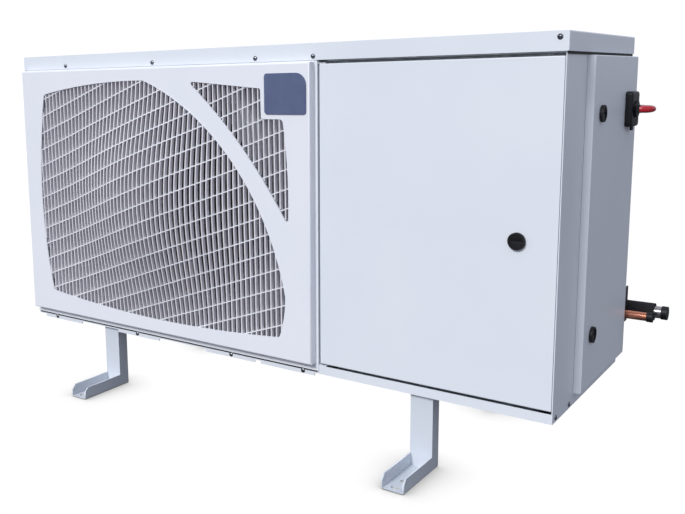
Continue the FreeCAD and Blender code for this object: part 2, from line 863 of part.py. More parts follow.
def fan_grille():
    """Comb of upright fins behind the ribs, tied together by a frame plate."""
    depth = value("rib_recess - panel_rise + rib_depth")
    layer = dome_layer(depth, depth + value("fin_depth"))
    main, side = mouth_prism(value("fin_root"), f"{FRONT} - 4 * panel_rise", "6 * panel_rise")
    pitch = value("fin_pitch")
    thick = value("fin_width")
    height = value("panel_top - panel_bottom")
    count = int(value("dome_radius") * 1.2 / pitch)
    plates = []
    for step in range(-count, count + 1):
        plates.append(Part.makeBox(thick, 200, height, Vector(
            value(FAN_X) + step * pitch - thick / 2, value(FRONT) - 150, value(FAN_Z) - height / 2)))
    mouths = mouth_prism(-value("fin_clear"), f"{FRONT} - 4 * panel_rise", "6 * panel_rise")
    behind = Part.makeBox(value("case_length"), value("panel_rise"), value("case_height"),
                          spot(LEFT, f"{FRONT} - panel_rise + panel_wall", BASE))
    region = layer.common(main.fuse(side)).common(behind.fuse(list(mouths)))
    fins = region.common(Part.makeCompound(plates))
    low = spot(f"{LEFT} + panel_left + 2 * panel_wall", f"{FRONT} - panel_rise + panel_wall",
               f"{BASE} + panel_bottom + 2 * panel_wall")
    frame = Part.makeBox(value("panel_right - panel_left - 4 * panel_wall"), value("frame_sheet"),
                         value("panel_top - panel_bottom - 4 * panel_wall"), low)
    clear_main, clear_side = mouth_prism(value("frame_clear"), f"{FRONT} - 4 * panel_rise", "6 * panel_rise")
    frame = frame.cut(clear_main).cut(clear_side)
    comb = frame.fuse(fins.Solids).removeSplitter()
    keep(feature("FanGrille", comb), "fan_grille")


def badge():
    """Blank plate at the top right of the fan panel, with one large round corner."""
    body = body_with("Badge", f"{LEFT} + badge_left", f"{FRONT} - panel_rise", f"{BASE} + badge_bottom")
    sketch = sketch_in(body, "XZ_Plane", "BadgeOutline")
    polygon(sketch, [("0", "0"), ("badge_width", "0"), ("badge_width", "badge_height"),
                     ("0", "badge_height")])
    pad(body, sketch, "badge_sheet")
    doc.recompute()
    plate = body.Tip
    for name, high_right in (("BadgeBig", True), ("BadgeSmall", False)):
        corners = []
        for number, edge in enumerate(plate.Shape.Edges, start=1):
            bound = edge.BoundBox
            upright = bound.XLength < 1e-6 and bound.ZLength < 1e-6
            big = bound.XMax > value("badge_width") - 1e-3 and bound.ZMax > value("badge_height") - 1e-3
            if upright and big == high_right:
                corners.append(f"Edge{number}")
        soft = body.newObject("PartDesign::Fillet", name)
        soft.Base = (plate, corners)
        bind(soft, "Radius", "badge_round" if high_right else "badge_corner")
        doc.recompute()
        plate = soft
    keep(body, "badge_plate")


def door():
    """Hinged front door: a folded tray with an inner lip that carries the seal."""
    left = f"{LEFT} + door_left"
    foot = f"{BASE} + door_bottom"
    width = "(case_length - sheet - door_gap - door_left)"
    block = box("DoorBlock", left, FRONT, foot, width, "door_depth", "door_height")
    cavity = box("DoorCavity", f"{left} + door_sheet", f"{FRONT} + door_sheet", f"{foot} + door_sheet",
                 f"{width} - 2 * door_sheet", "door_depth - 2 * door_sheet", "door_height - 2 * door_sheet")
    window = box("DoorWindow", f"{left} + lip_width", f"{FRONT} + door_depth - 2 * door_sheet",
                 f"{foot} + lip_width", f"{width} - 2 * lip_width", "4 * door_sheet",
                 "door_height - 2 * lip_width")
    latch_hole = rod("DoorLatchHole", f"{DOOR_RIGHT} - latch_from_edge", f"{FRONT} - door_sheet",
                     f"{foot} + latch_up", "latch_stem + latch_play", "3 * door_sheet", "Y")
    hinge_hole = rod("DoorHingeHole", f"{left} + hinge_inset", f"{FRONT} + hinge_depth",
                     f"{foot} - door_sheet", "hinge_pin + hinge_play", "door_height + 2 * door_sheet")
    keep(cut("Door", block, [cavity, window, latch_hole, hinge_hole]), "door")

    outer = box("SealOuter", f"{left} + seal_inset", f"{FRONT} + door_depth", f"{foot} + seal_inset",
                f"{width} - 2 * seal_inset", "seal_height", "door_height - 2 * seal_inset")
    inset = "(seal_inset + seal_width)"
    inner = box("SealInner", f"{left} + {inset}", f"{FRONT} + door_depth - seal_height",
                f"{foot} + {inset}", f"{width} - 2 * {inset}", "3 * seal_height",
                f"door_height - 2 * {inset}")
    keep(cut("DoorSeal", outer, [inner]), "door_seal")


def door_frame():
    """Header and sill strips that close the door opening above and below."""
    left = f"{LEFT} + post_right - sheet + stop_width"
    along = "case_length - post_right + sheet - 2 * stop_width"
    back = f"{FRONT} + door_depth + seal_height + cover_gap"
    head = f"{BASE} + door_bottom + door_height - lip_width"
    header = box("Header", left, back, head, along, "sheet", f"{TOP} - ({head})")
    sill = box("Sill", left, back, f"{BASE} + sheet", along, "sheet", "door_bottom + lip_width - sheet")
    keep(group("DoorFrame", [header, sill]), "door_frame_rails")


def hinges():
    """Two hinge brackets beside the centre post, each with a fixed pin for the door."""
    post = f"{LEFT} + post_right"
    top = f"{BASE} + door_bottom + door_height"
    reach = "door_left + 3 * hinge_inset - post_right"
    high = fuse("BracketHigh", [
        box("HighPlate", post, f"{FRONT} + hinge_play", f"{top} + cover_gap", reach,
            "3 * hinge_depth", "sheet"),
        box("HighLeg", post, f"{FRONT} + hinge_play", f"{top} + cover_gap", "sheet",
            "post_depth - door_depth", "foot_flange"),
    ])
    low = box("LowPlate", post, FRONT, f"{BASE} + base_flange", reach, "3 * hinge_depth", "sheet")
    keep(group("HingeBrackets", [high, low]), "hinge_brackets")
    axis_x = f"{LEFT} + door_left + hinge_inset"
    axis_y = f"{FRONT} + hinge_depth"
    pins = [
        rod("PinHigh", axis_x, axis_y, f"{top} - door_depth", "hinge_pin", "door_depth + cover_gap"),
        rod("PinLow", axis_x, axis_y, f"{BASE} + base_flange + sheet", "hinge_pin",
            "door_bottom - base_flange - sheet + door_depth"),
    ]
    keep(group("HingePins", pins), "hinge_pins")


def quarter_turn(name, label, place_at, turn, stem, slot, cam):
    """Black slotted head on a stem, with a flat cam or cross bar behind the sheet."""
    body = body_with(name, *place_at)
    body.Placement = Placement(body.Placement.Base, turn)
    head = sketch_in(body, "XY_Plane", name + "Head")
    circle(head, "0", "0", "latch_head")
    pad(body, head, "latch_rise")
    hollow = sketch_in(body, "XY_Plane", name + "Hollow", "latch_rise")
    circle(hollow, "0", "0", "latch_head - latch_slot")
    pocket(body, hollow, "latch_recess")
    groove = sketch_in(body, "XY_Plane", name + "Groove", "latch_rise - latch_recess")
    oblong(groove, *slot)
    pocket(body, groove, "latch_recess")
    shaft = sketch_in(body, "XY_Plane", name + "Stem")
    circle(shaft, "0", "0", "latch_stem")
    pad(body, shaft, stem, reverse=True)
    flat = sketch_in(body, "XY_Plane", name + "Cam", f"-({stem})")
    polygon(flat, cam)
    pad(body, flat, "cam_sheet")
    doc.recompute()
    keep(body, label)


def oblong(sketch, half_x, half_y):
    """A rectangle centred on the sketch."""
    polygon(sketch, [(f"-{half_x}", f"-{half_y}"), (half_x, f"-{half_y}"), (half_x, half_y),
                     (f"-{half_x}", half_y)])


def latches():
    """Quarter turn latch of the door and the two that hold the side cover."""
    across = "(latch_head - latch_slot - latch_recess)"
    thin = "latch_slot / 2"
    door_at = (f"{DOOR_RIGHT} - latch_from_edge", FRONT, f"{BASE} + door_bottom + latch_up")
    quarter_turn("DoorLatch", "door_latch", door_at, Rotation(Vector(1, 0, 0), 90),
                 "door_depth + seal_height + 3 * sheet + cam_sheet", (across, thin),
                 [("-cam_width / 2", "cam_tail - cam_length"), ("cam_width / 2", "cam_tail - cam_length"),
                  ("cam_width / 2", "cam_tail"), ("-cam_width / 2", "cam_tail")])
    for name, label, height in (("CoverLatchLow", "cover_latch_lower", "cover_latch_low"),
                                ("CoverLatchHigh", "cover_latch_upper", "cover_latch_high")):
        place_at = (f"{RIGHT} + cover_rise", f"{FRONT} + cover_latch_back", f"{BASE} + {height}")
        quarter_turn(name, label, place_at, Rotation(Vector(0, 1, 0), 90),
                     "cover_rise + sheet + 2 * cover_gap + cam_sheet", (thin, across),
                     [("-cam_sheet", "-cross_bar / 2"), ("cam_sheet", "-cross_bar / 2"),
                      ("cam_sheet", "cross_bar / 2"), ("-cam_sheet", "cross_bar / 2")])


def side_cover():
    """Lift-off side cover: a shallow tray with a slanted front edge."""
    def block(name, inset, low):
        body = body_with(name, RIGHT, f"{FRONT}", f"{BASE} + cover_bottom + {inset}")
        plan = sketch_in(body, "XY_Plane", name + "Plan")
        polygon(plan, [(low, f"cover_front + {inset}"),
                       (f"cover_rise - {inset}", f"cover_front + cover_slant + {inset}"),
                       (f"cover_rise - {inset}", f"cover_back - {inset}"),
                       (low, f"cover_back - {inset}")])
        pad(body, plan, f"cover_top - cover_bottom - 2 * {inset}")
        doc.recompute()
        return body

    outer = block("CoverOuter", "0", "cover_gap")
    inner = block("CoverInner", "door_sheet", "-cover_gap")
    holes = []
    for name, height in (("CoverHoleLow", "cover_latch_low"), ("CoverHoleHigh", "cover_latch_high")):
        holes.append(rod(name, RIGHT, f"{FRONT} + cover_latch_back", f"{BASE} + {height}",
                         "latch_stem + latch_play", "2 * cover_rise", "X"))
    holes.append(rod("SpindleHole", RIGHT, f"{FRONT} + switch_back", f"{BASE} + switch_up",
                     "spindle + latch_play", "2 * cover_rise", "X"))
    keep(cut("SideCover", outer, [inner] + holes), "side_cover")


def isolator():
    """Rotary mains switch on the side cover: square base, black root and red grip."""
    face = f"{RIGHT} + cover_rise"
    y = f"{FRONT} + switch_back"
    z = f"{BASE} + switch_up"
    body = body_with("SwitchBase", face, y, z)
    square = sketch_in(body, "YZ_Plane", "SwitchSquare")
    polygon(square, [("-switch_width / 2", "-switch_height / 2"), ("switch_width / 2", "-switch_height / 2"),
                     ("switch_width / 2", "switch_height / 2"), ("-switch_width / 2", "switch_height / 2")])
    pad(body, square, "switch_depth")
    doc.recompute()
    plate = body.Tip
    outer = max(range(len(plate.Shape.Faces)), key=lambda n: plate.Shape.Faces[n].CenterOfMass.x)
    soft = body.newObject("PartDesign::Chamfer", "SwitchBevel")
    soft.Base = (plate, [f"Face{outer + 1}"])
    bind(soft, "Size", "switch_bevel")
    doc.recompute()
    bore = sketch_in(body, "YZ_Plane", "SwitchBore")
    circle(bore, "0", "0", "spindle + latch_play")
    pocket(body, bore)
    keep(body, "isolator_base")
    depth = "block_depth"
    block = box("BlockBody", f"{RIGHT} + cover_rise - door_sheet - {depth}", f"{y} - block_width / 2",
                f"{z} - block_height / 2", depth, "block_width", "block_height")
    hole = rod("BlockHole", f"{RIGHT} - cover_gap", y, z, "spindle + latch_play", "2 * cover_rise", "X")
    keep(cut("IsolatorBlock", block, [hole]), "isolator_block")

    outside = f"{face} + switch_depth"
    collar = rod("LeverCollar", outside + " + cover_gap", y, z, "collar_radius", "collar_rise", "X")
    root = box("LeverRoot", outside + " + cover_gap + collar_rise", f"{y} - root_length / 2",
               f"{z} - lever_width / 2", "root_rise", "root_length", "lever_width")
    spindle = rod("LeverSpindle", f"{face} - cover_rise", y, z, "spindle",
                  "cover_rise + switch_depth + cover_gap", "X")
    keep(fuse("LeverBlack", [collar, root, spindle]), "isolator_collar")
    tip = outside + " + cover_gap + collar_rise + root_rise"
    grip = body_with("LeverGrip", tip, y, z)
    plan = sketch_in(grip, "XY_Plane", "GripPlan")
    half = "lever_length / 2"
    polygon(plan, [("0", f"-{half}"), ("lever_rise", f"lever_width / 2 - {half}"),
                   ("lever_rise", f"{half} - lever_width / 2"), ("0", half)])
    raised = pad(grip, plan, "lever_width")
    raised.Midplane = True
    doc.recompute()
    keep(grip, "isolator_lever")


def front_rails():
    """Strips along the top of the front that take the lid screws."""
    strips = []
    for name, start, stop in (("RailLeft", "base_flange", "post_left"),
                              ("RailRight", "rail_start", "case_length - sheet")):
        strips.append(box(name, f"{LEFT} + {start}", FRONT, f"{BASE} + rail_bottom", f"{stop} - {start}",
                          "sheet", "case_height - rail_bottom"))
    made = [cut(strip.Name + "Drilled", strip, shanks("Lid")) for strip in strips]
    keep(group("FrontRails", made), "front_rails")


def run(points, radius, bend):
    """A round bar along straight lines joined by bends of one radius."""
    solids = []
    here = points[0]
    for number in range(1, len(points)):
        corner = points[number]
        way = (corner - points[number - 1]).normalize()
        if number == len(points) - 1:
            solids.append(Part.makeCylinder(radius, (corner - here).Length, here, way))
            break
        onward = (points[number + 1] - corner).normalize()
        angle = way.getAngle(onward)
        setback = bend * math.tan(angle / 2)
        start = corner - way * setback
        solids.append(Part.makeCylinder(radius, (start - here).Length, here, way))
        axis = way.cross(onward).normalize()
        centre = start + axis.cross(way) * bend
        disc = Part.Face(Part.Wire(Part.makeCircle(radius, start, way)))
        solids.append(disc.revolve(centre, axis, math.degrees(angle)))
        here = corner + onward * setback
    whole = solids[0].fuse(solids[1:]) if len(solids) > 1 else solids[0]
    return whole.removeSplitter()


def at(along, back, up):
    """A point given from the low front left corner of the case."""
    return spot(f"{LEFT} + {along}", f"{FRONT} + {back}", f"{BASE} + {up}")


def fan():
    """Four bladed axial fan, its shaft, the motor and the two rails that carry it."""
    hub = turned("FanHub", None, FAN_X, f"{FRONT} + hub_front", FAN_Z,
                 [("shaft_radius", "sheet"), ("hub_radius - sheet", "0"), ("hub_radius", "sheet"),
                  ("hub_radius", "hub_depth"), ("shaft_radius", "hub_depth")], "Y")
    blades = []
    middle = value("hub_front + hub_depth / 2")
    thick = value("blade_sheet")
    inner, outer = value("hub_radius") - 1, value("fan_radius")
    for number in range(int(value("blade_count"))):
        wires = []
        for share in (0, 0.5, 1):
            reach = inner + (outer - inner) * share
            chord = value("blade_root") + (value("blade_chord") - value("blade_root")) * share
            angle = value("root_angle") + (value("tip_angle") - value("root_angle")) * share
            along = Vector(math.cos(math.radians(angle)), math.sin(math.radians(angle)), 0) * (chord / 2)
            over = Vector(-along.y, along.x, 0).normalize() * (thick / 2)
            lift = Vector(0, middle, reach)
            corners = [lift - along - over, lift + along - over, lift + along + over, lift - along + over]
            wires.append(Part.makePolygon(corners + corners[:1]))
        blade = Part.makeLoft(wires, True)
        blade.rotate(Vector(), Vector(0, 1, 0), 45 + number * 360 / value("blade_count"))
        blade.translate(Vector(value(FAN_X), value(FRONT), value(FAN_Z)))
        blades.append(blade)
    doc.recompute()
    edge = Part.makeCylinder(outer, 200, Vector(value(FAN_X), value(FRONT) - 50, value(FAN_Z)),
                             Vector(0, 1, 0))
    whole = hub.Shape.fuse([blade.common(edge) for blade in blades]).removeSplitter()
    bore = Part.makeCylinder(value("shaft_radius"), 200,
                             Vector(value(FAN_X), value(FRONT) - 50, value(FAN_Z)), Vector(0, 1, 0))
    keep(feature("FanBlades", whole.cut(bore)), "fan_blades")
    keep(rod("FanShaft", FAN_X, f"{FRONT} + hub_front - 4 * sheet", FAN_Z, "shaft_radius",
             "motor_front - hub_front + 4 * sheet + motor_depth / 2", "Y"), "fan_shaft")
    bore_radius = "shaft_radius + shaft_play"
    turned("FanMotor", "fan_motor", FAN_X, f"{FRONT} + motor_front", FAN_Z,
           [(bore_radius, "0"), ("motor_radius / 3", "0"), ("motor_radius / 3", "motor_depth / 12"),
            ("motor_radius * 0.8", "motor_depth / 12"), ("motor_radius", "motor_depth / 4"),
            ("motor_radius", "motor_depth * 0.85"), ("motor_radius * 0.8", "motor_depth"),
            ("0", "motor_depth"), ("0", "motor_depth / 2 + sheet"), (bore_radius, "motor_depth / 2 + sheet")],
           "Y")
    back = f"{FRONT} + motor_front + motor_depth"
    plate = box("MotorPlate", f"{FAN_X} - cross_plate", back, f"{FAN_Z} - cross_plate",
                "2 * cross_plate", "2 * sheet", "2 * cross_plate")
    rails = [plate]
    for name, side in (("RailNear", "-"), ("RailFar", "+")):
        rails.append(box(name, f"{FAN_X} {side} rail_spread / 2 - rail_width / 2", f"{back} + 2 * sheet",
                         f"{BASE} + sheet", "rail_width", "rail_depth", "case_height - sheet"))
    keep(fuse("MotorBracket", rails), "motor_bracket")
    plate_back = f"{FRONT} + ring_front + ring_depth"
    wall = box("ShroudPlate", f"{LEFT} + 2 * sheet", plate_back, f"{BASE} + sheet",
               "post_right - 3 * sheet", "sheet", "case_height - sheet")
    ring = rod("ShroudRing", FAN_X, f"{FRONT} + ring_front", FAN_Z, "fan_radius + ring_gap + ring_sheet",
               "ring_depth", "Y")
    opening = rod("ShroudOpening", FAN_X, FRONT, FAN_Z, "fan_radius + ring_gap",
                  "2 * ring_depth + ring_front", "Y")
    keep(cut("FanShroud", fuse("ShroudSolid", [wall, ring]), [opening]), "fan_shroud")


def coil():
    """Condenser coil behind the fan: fin block, end plates and return bends, with a wire guard."""
    block = box("CoilBlock", f"{LEFT} + coil_left", f"{FRONT} + coil_front + (coil_depth - coil_core) / 2",
                f"{BASE} + coil_lift", "coil_right - coil_left", "coil_core", "coil_height")
    parts = [block]
    for name, along in (("CoilEndLeft", "coil_left - sheet"), ("CoilEndRight", "coil_right")):
        parts.append(box(name, f"{LEFT} + {along}", f"{FRONT} + coil_front", f"{BASE} + sheet",
                         "sheet", "coil_depth", "case_height - 2 * sheet"))
    doc.recompute()
    leaves = []
    corner = at("coil_left", "coil_front", "coil_lift")
    for number in range(1, int(value("(coil_right - coil_left) / coil_fin_pitch"))):
        leaves.append(Part.makeBox(value("coil_fin"), value("coil_depth"), value("coil_height"),
                                   corner + Vector(number * value("coil_fin_pitch"), 0, 0)))
    shape = parts[0].Shape.fuse([part.Shape for part in parts[1:]] + leaves)
    for part in parts:
        doc.removeObject(part.Name)
    tubes = int(value("coil_tubes"))
    step = value("coil_height / coil_tubes")
    bend = value("coil_bend")
    radius = value("coil_tube")
    bends = []
    for number in range(tubes):
        low = value("coil_lift") + step * (number + 0.5) - bend
        for end, out in (("coil_left - sheet", -1), ("coil_right + sheet", 1)):
            start = at(end, "bend_back", "0") + Vector(0, 0, low)
            disc = Part.Face(Part.Wire(Part.makeCircle(radius, start, Vector(1, 0, 0))))
            bends.append(disc.revolve(start + Vector(0, 0, bend), Vector(0, -out, 0), 180))
    keep(feature("Coil", shape.fuse(bends).removeSplitter()), "condenser_coil")

    wires = []
    rows, columns = 6, 9
    for number in range(rows):
        up = f"case_height * {number + 1} / {rows + 1}"
        wires.append(rod(f"GuardAcross{number}", f"{LEFT} + sheet", f"{BACK} - 5", f"{BASE} + {up}",
                         "guard_wire / 2", "post_right - 3 * sheet", "X"))
    for number in range(columns):
        along = f"post_right * {number + 1} / {columns + 1}"
        wires.append(rod(f"GuardUp{number}", f"{LEFT} + {along}", f"{BACK} - 5 - guard_wire + sheet / 3",
                         f"{BASE} + base_flange + sheet", "guard_wire / 2",
                         "case_height - base_flange - 3 * sheet"))
    keep(fuse("CoilGuard", wires), "coil_guard")


def compressor():
    """Hermetic compressor with its feet, bolts and rubber mounts."""
    x, y = f"{LEFT} + shell_along", f"{FRONT} + shell_back"
    seat = f"{BASE} + sheet + grommet_height + foot_plate"
    shell = rod("ShellBody", x, y, seat, "shell_radius", "shell_height")
    doc.recompute()
    body = shell.Shape.makeFillet(value("shell_dome"), [e for e in shell.Shape.Edges if len(e.Vertexes) == 1])
    centre = spot(x, y, seat)
    band = Part.makeCylinder(value("shell_radius + shell_band"), value("2 * shell_band"),
                             centre + Vector(0, 0, value("shell_height * 0.55")))
    box_low = centre + Vector(-value("terminal_width / 2"), -value("shell_radius + terminal_depth"),
                              value("terminal_up"))
    cover = Part.makeBox(value("terminal_width"), value("shell_radius"), value("terminal_height"), box_low)
    doc.removeObject(shell.Name)
    whole = body.fuse([band, cover]).removeSplitter()
    keep(feature("Compressor", whole), "compressor")

    half = "(foot_spread / 2 + foot_edge)"
    plate = box("FootPlate", f"{x} - {half}", f"{y} - {half}", f"{BASE} + sheet + grommet_height",
                f"2 * {half}", f"2 * {half}", "foot_plate")
    bolts, rubbers, holes = [], [], []
    for across in ("-", "+"):
        for deep in ("-", "+"):
            px, py = f"{x} {across} foot_spread / 2", f"{y} {deep} foot_spread / 2"
            low = f"{BASE} + sheet"
            holes.append(rod("FootHole", px, py, low, "bolt_radius", "2 * grommet_height"))
            rubber = rod("Rubber", px, py, low, "grommet_radius", "grommet_height")
            core = rod("RubberHole", px, py, low, "bolt_radius", "grommet_height")
            rubbers.append(cut("RubberMount", rubber, [core]))
            shank = rod("FootShank", px, py, low, "bolt_radius", "grommet_height + foot_plate")
            head = hexagon("FootHead", px, py, f"{low} + grommet_height + foot_plate", "bolt_head",
                           "bolt_rise")
            bolts.append(fuse("FootBolt", [shank, head]))
    keep(cut("CompressorPlate", plate, holes), "compressor_plate")
    keep(group("CompressorMounts", rubbers), "compressor_mounts")
    keep(group("CompressorBolts", bolts), "compressor_bolts")
    return whole


def receiver():
    """Upright liquid receiver with rounded ends on a short foot ring."""
    x, y = f"{LEFT} + receiver_along", f"{FRONT} + receiver_back"
    tank = rod("TankBody", x, y, f"{BASE} + receiver_foot", "receiver_radius", "receiver_height")
    foot = rod("TankFoot", x, y, f"{BASE} + sheet", "receiver_radius * 0.7", "receiver_foot")
    doc.recompute()
    rims = [edge for edge in tank.Shape.Edges if len(edge.Vertexes) == 1]
    body = tank.Shape.makeFillet(value("receiver_dome"), rims)
    whole = body.fuse(foot.Shape).removeSplitter()
    for helper in (tank, foot):
        doc.removeObject(helper.Name)
    keep(feature("Receiver", whole), "liquid_receiver")
    return whole


def grommets(name, label, places):
    """Rubber rings where pipes pass through sheet metal."""
    rings = []
    for number, (x, y, z, radius, axis) in enumerate(places):
        low = (f"{x} - sheet", y, z) if axis == "X" else (x, f"{y} - sheet", z)
        lip = (f"{x} - sheet - grommet_lip", y, z) if axis == "X" else (x, y, z)
        ring = fuse(f"{name}Ring{number}", [
            rod(f"{name}Core{number}", *low, f"{radius} + grommet_wall", "sheet", axis),
            rod(f"{name}Lip{number}", *lip, f"{radius} + grommet_wall + grommet_lip", "grommet_lip", axis)])
        start = (f"{x} - 9 * sheet", y, z) if axis == "X" else (x, f"{y} - 9 * sheet", z)
        rings.append(cut(f"{name}Whole{number}", ring,
                         [rod(f"{name}Bore{number}", *start, radius, "18 * sheet", axis)]))
    keep(group(name, rings), label)


def pipework(shell, tank):
    """Refrigerant lines: inside from shell to coil and receiver, outside to the two capped ends."""
    small = value("discharge_radius")
    tight, wide = value("bend_small"), value("bend_large")
    discharge = run([at("shell_along", "shell_back", "discharge_up"),
                     at("shell_along", "pipe_back", "discharge_up"),
                     at("shell_along", "pipe_back", "pipe_high"),
                     at("coil_right + sheet", "pipe_back", "pipe_high")], small, tight)
    keep(feature("DischargePipe", discharge.cut(shell)), "discharge_pipe")

    drier_end = "drier_along + drier_length"
    drier = turned("FilterDrier", "filter_drier", f"{LEFT} + drier_along", f"{FRONT} + pipe_back",
                   f"{BASE} + pipe_low",
                   [("0", "0"), ("drier_radius / 2", "0"), ("drier_radius", "drier_length / 6"),
                    ("drier_radius", "drier_length * 5 / 6"), ("drier_radius / 2", "drier_length"),
                    ("0", "drier_length")], "X")
    before = run([at("coil_right + sheet", "pipe_back", "pipe_low"),
                  at("drier_along", "pipe_back", "pipe_low")], small, tight)
    after = run([at(drier_end, "pipe_back", "pipe_low"), at("receiver_inlet", "pipe_back", "pipe_low"),
                 at("receiver_inlet", "receiver_back", "pipe_low")], small, tight).cut(tank)
    keep(feature("CondensatePipe", Part.makeCompound([before, after])), "condensate_pipe")

    liquid = run([at("receiver_along", "receiver_back", "liquid_up"),
                  at("receiver_along", "liquid_back", "liquid_up"),
                  at("liquid_end", "liquid_back", "liquid_up")], value("liquid_radius"), tight)
    keep(feature("LiquidPipe", liquid.cut(tank)), "liquid_pipe")

    turns = [at("suction_exit", "suction_back", "suction_up"),
             at("stub_end", "suction_back", "suction_up")]
    suction = run([at("shell_along", "shell_back", "suction_inlet"),
                   at("suction_exit", "shell_back", "suction_inlet"),
                   at("suction_exit", "shell_back", "suction_up")] + turns, value("suction_radius"), wide)
    keep(feature("SuctionPipe", suction.cut(shell)), "suction_pipe")
    around = run([at("suction_exit", "sleeve_start", "suction_up"), turns[0],
                  at("sleeve_end", "suction_back", "suction_up")], value("sleeve_radius"), wide)
    inside = run([at("suction_exit", "shell_back + bend_large", "suction_up")] + turns,
                 value("suction_radius"), wide)
    keep(feature("SuctionSleeve", around.cut(inside)), "suction_sleeve")

    caps = []
    for name, end, back, up, radius in (
            ("LiquidCap", "liquid_end", "liquid_back", "liquid_up", "liquid_radius"),
            ("SuctionCap", "stub_end", "suction_back", "suction_up", "suction_radius")):
        start = (f"{LEFT} + {end} - cap_cover", f"{FRONT} + {back}", f"{BASE} + {up}")
        outer = rod(name + "Outer", *start, f"{radius} + cap_wall", "cap_cover + cap_length / 2", "X")
        inner = rod(name + "Inner", *start, radius, "cap_cover", "X")
        caps.append(cut(name, outer, [inner]))
    keep(group("PipeCaps", caps), "pipe_caps")

    foot = box("ClipFoot", f"{LEFT} + clip_foot", BACK, f"{BASE} + bracket_bottom",
               "bracket_along + clip_sheet - clip_foot", "clip_sheet", "bracket_top - bracket_bottom")
    arm = box("ClipArm", f"{LEFT} + bracket_along", BACK, f"{BASE} + bracket_bottom", "clip_sheet",
              "clip_reach - case_depth", "bracket_top - bracket_bottom")
    holes = [rod("ClipLiquid", f"{LEFT} + clip_foot", f"{FRONT} + liquid_back", f"{BASE} + liquid_up",
                 "liquid_radius", "case_length - clip_foot + 3 * clip_sheet", "X"),
             rod("ClipSuction", f"{LEFT} + clip_foot", f"{FRONT} + suction_back", f"{BASE} + suction_up",
                 "sleeve_radius", "case_length - clip_foot + 3 * clip_sheet", "X")]
    keep(cut("PipeBracket", fuse("ClipFolded", [foot, arm]), holes), "pipe_bracket")

    grommets("RearGrommets", "rear_grommets", [
        (f"{LEFT} + receiver_along", BACK, f"{BASE} + liquid_up", "liquid_radius", "Y"),
        (f"{LEFT} + suction_exit", BACK, f"{BASE} + suction_up", "sleeve_radius", "Y")])
    grommets("WallGrommets", "partition_grommets", [
        (f"{LEFT} + post_right", f"{FRONT} + pipe_back", f"{BASE} + pipe_high", "discharge_radius", "X"),
        (f"{LEFT} + post_right", f"{FRONT} + pipe_back", f"{BASE} + pipe_low", "discharge_radius", "X")])
    return drier


def electrics():
    """Electric box on a shelf behind the door, its cover, and a pressure switch on the partition."""
    x, y, z = f"{LEFT} + electric_left", f"{FRONT} + electric_front", f"{BASE} + electric_bottom"
    block = box("EBlock", x, f"{y} + sheet", z, "electric_width", "electric_depth - sheet", "electric_height")
    hollow = box("EHollow", f"{x} + sheet", y, f"{z} + sheet", "electric_width - 2 * sheet",
                 "electric_depth - sheet", "electric_height - 2 * sheet")
    keep(cut("ElectricBox", block, [hollow]), "electric_box")
    keep(box("ElectricCover", x, y, z, "electric_width", "sheet", "electric_height"), "electric_cover")
    shelf = box("ShelfPlate", f"{LEFT} + post_right", y, f"{z} - sheet",
                "electric_left + electric_width - post_right", "electric_depth", "sheet")
    flange = box("ShelfFlange", f"{LEFT} + post_right", y, f"{z} - foot_flange", "sheet",
                 "electric_depth", "foot_flange")
    keep(fuse("ElectricShelf", [shelf, flange]), "electric_shelf")
    body = box("SwitchCase", f"{LEFT} + post_right", f"{FRONT} + pressure_front", f"{BASE} + pressure_up",
               "pressure_width", "pressure_width", "2 * pressure_width")
    stem = rod("SwitchNeck", f"{LEFT} + post_right + pressure_width / 2",
               f"{FRONT} + pressure_front + pressure_width / 2", f"{BASE} + pressure_up - pressure_width / 2",
               "discharge_radius", "pressure_width / 2")
    keep(fuse("PressureSwitch", [body, stem]), "pressure_switch")


base_pan()
lid()
legs()
left_panel()
right_panel()
rear_panel()
centre_post()
partition()
fan_panel()
fan_grille()
badge()
door()
door_frame()
front_rails()
hinges()
latches()
side_cover()
isolator()
fan()
coil()
shell_shape = compressor()
tank_shape = receiver()
pipework(shell_shape, tank_shape)
electrics()
screws("Lid", "lid_screws")
screws("Tab", "tab_screws")
screws("Side", "side_screws")
leg_bolts()

doc.removeObject(gauge.Name)
doc.recompute()
for thing in doc.Objects:
    if "Invalid" in thing.State or "Error" in thing.State:
        raise RuntimeError(f"{thing.Name} did not recompute: {thing.State}")
os.makedirs("parts", exist_ok=True)
for piece in pieces:
    shape = piece.Shape
    if shape.isNull() or not shape.isValid() or not shape.Solids:
        raise RuntimeError(f"{piece.Label} has no sound shape")
    shape.exportStep(f"parts/{piece.Label}.step")
print(f"{len(pieces)} pieces written")
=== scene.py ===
import json
import math

import bmesh
import bpy
import numpy as np
from mathutils import Matrix, Vector


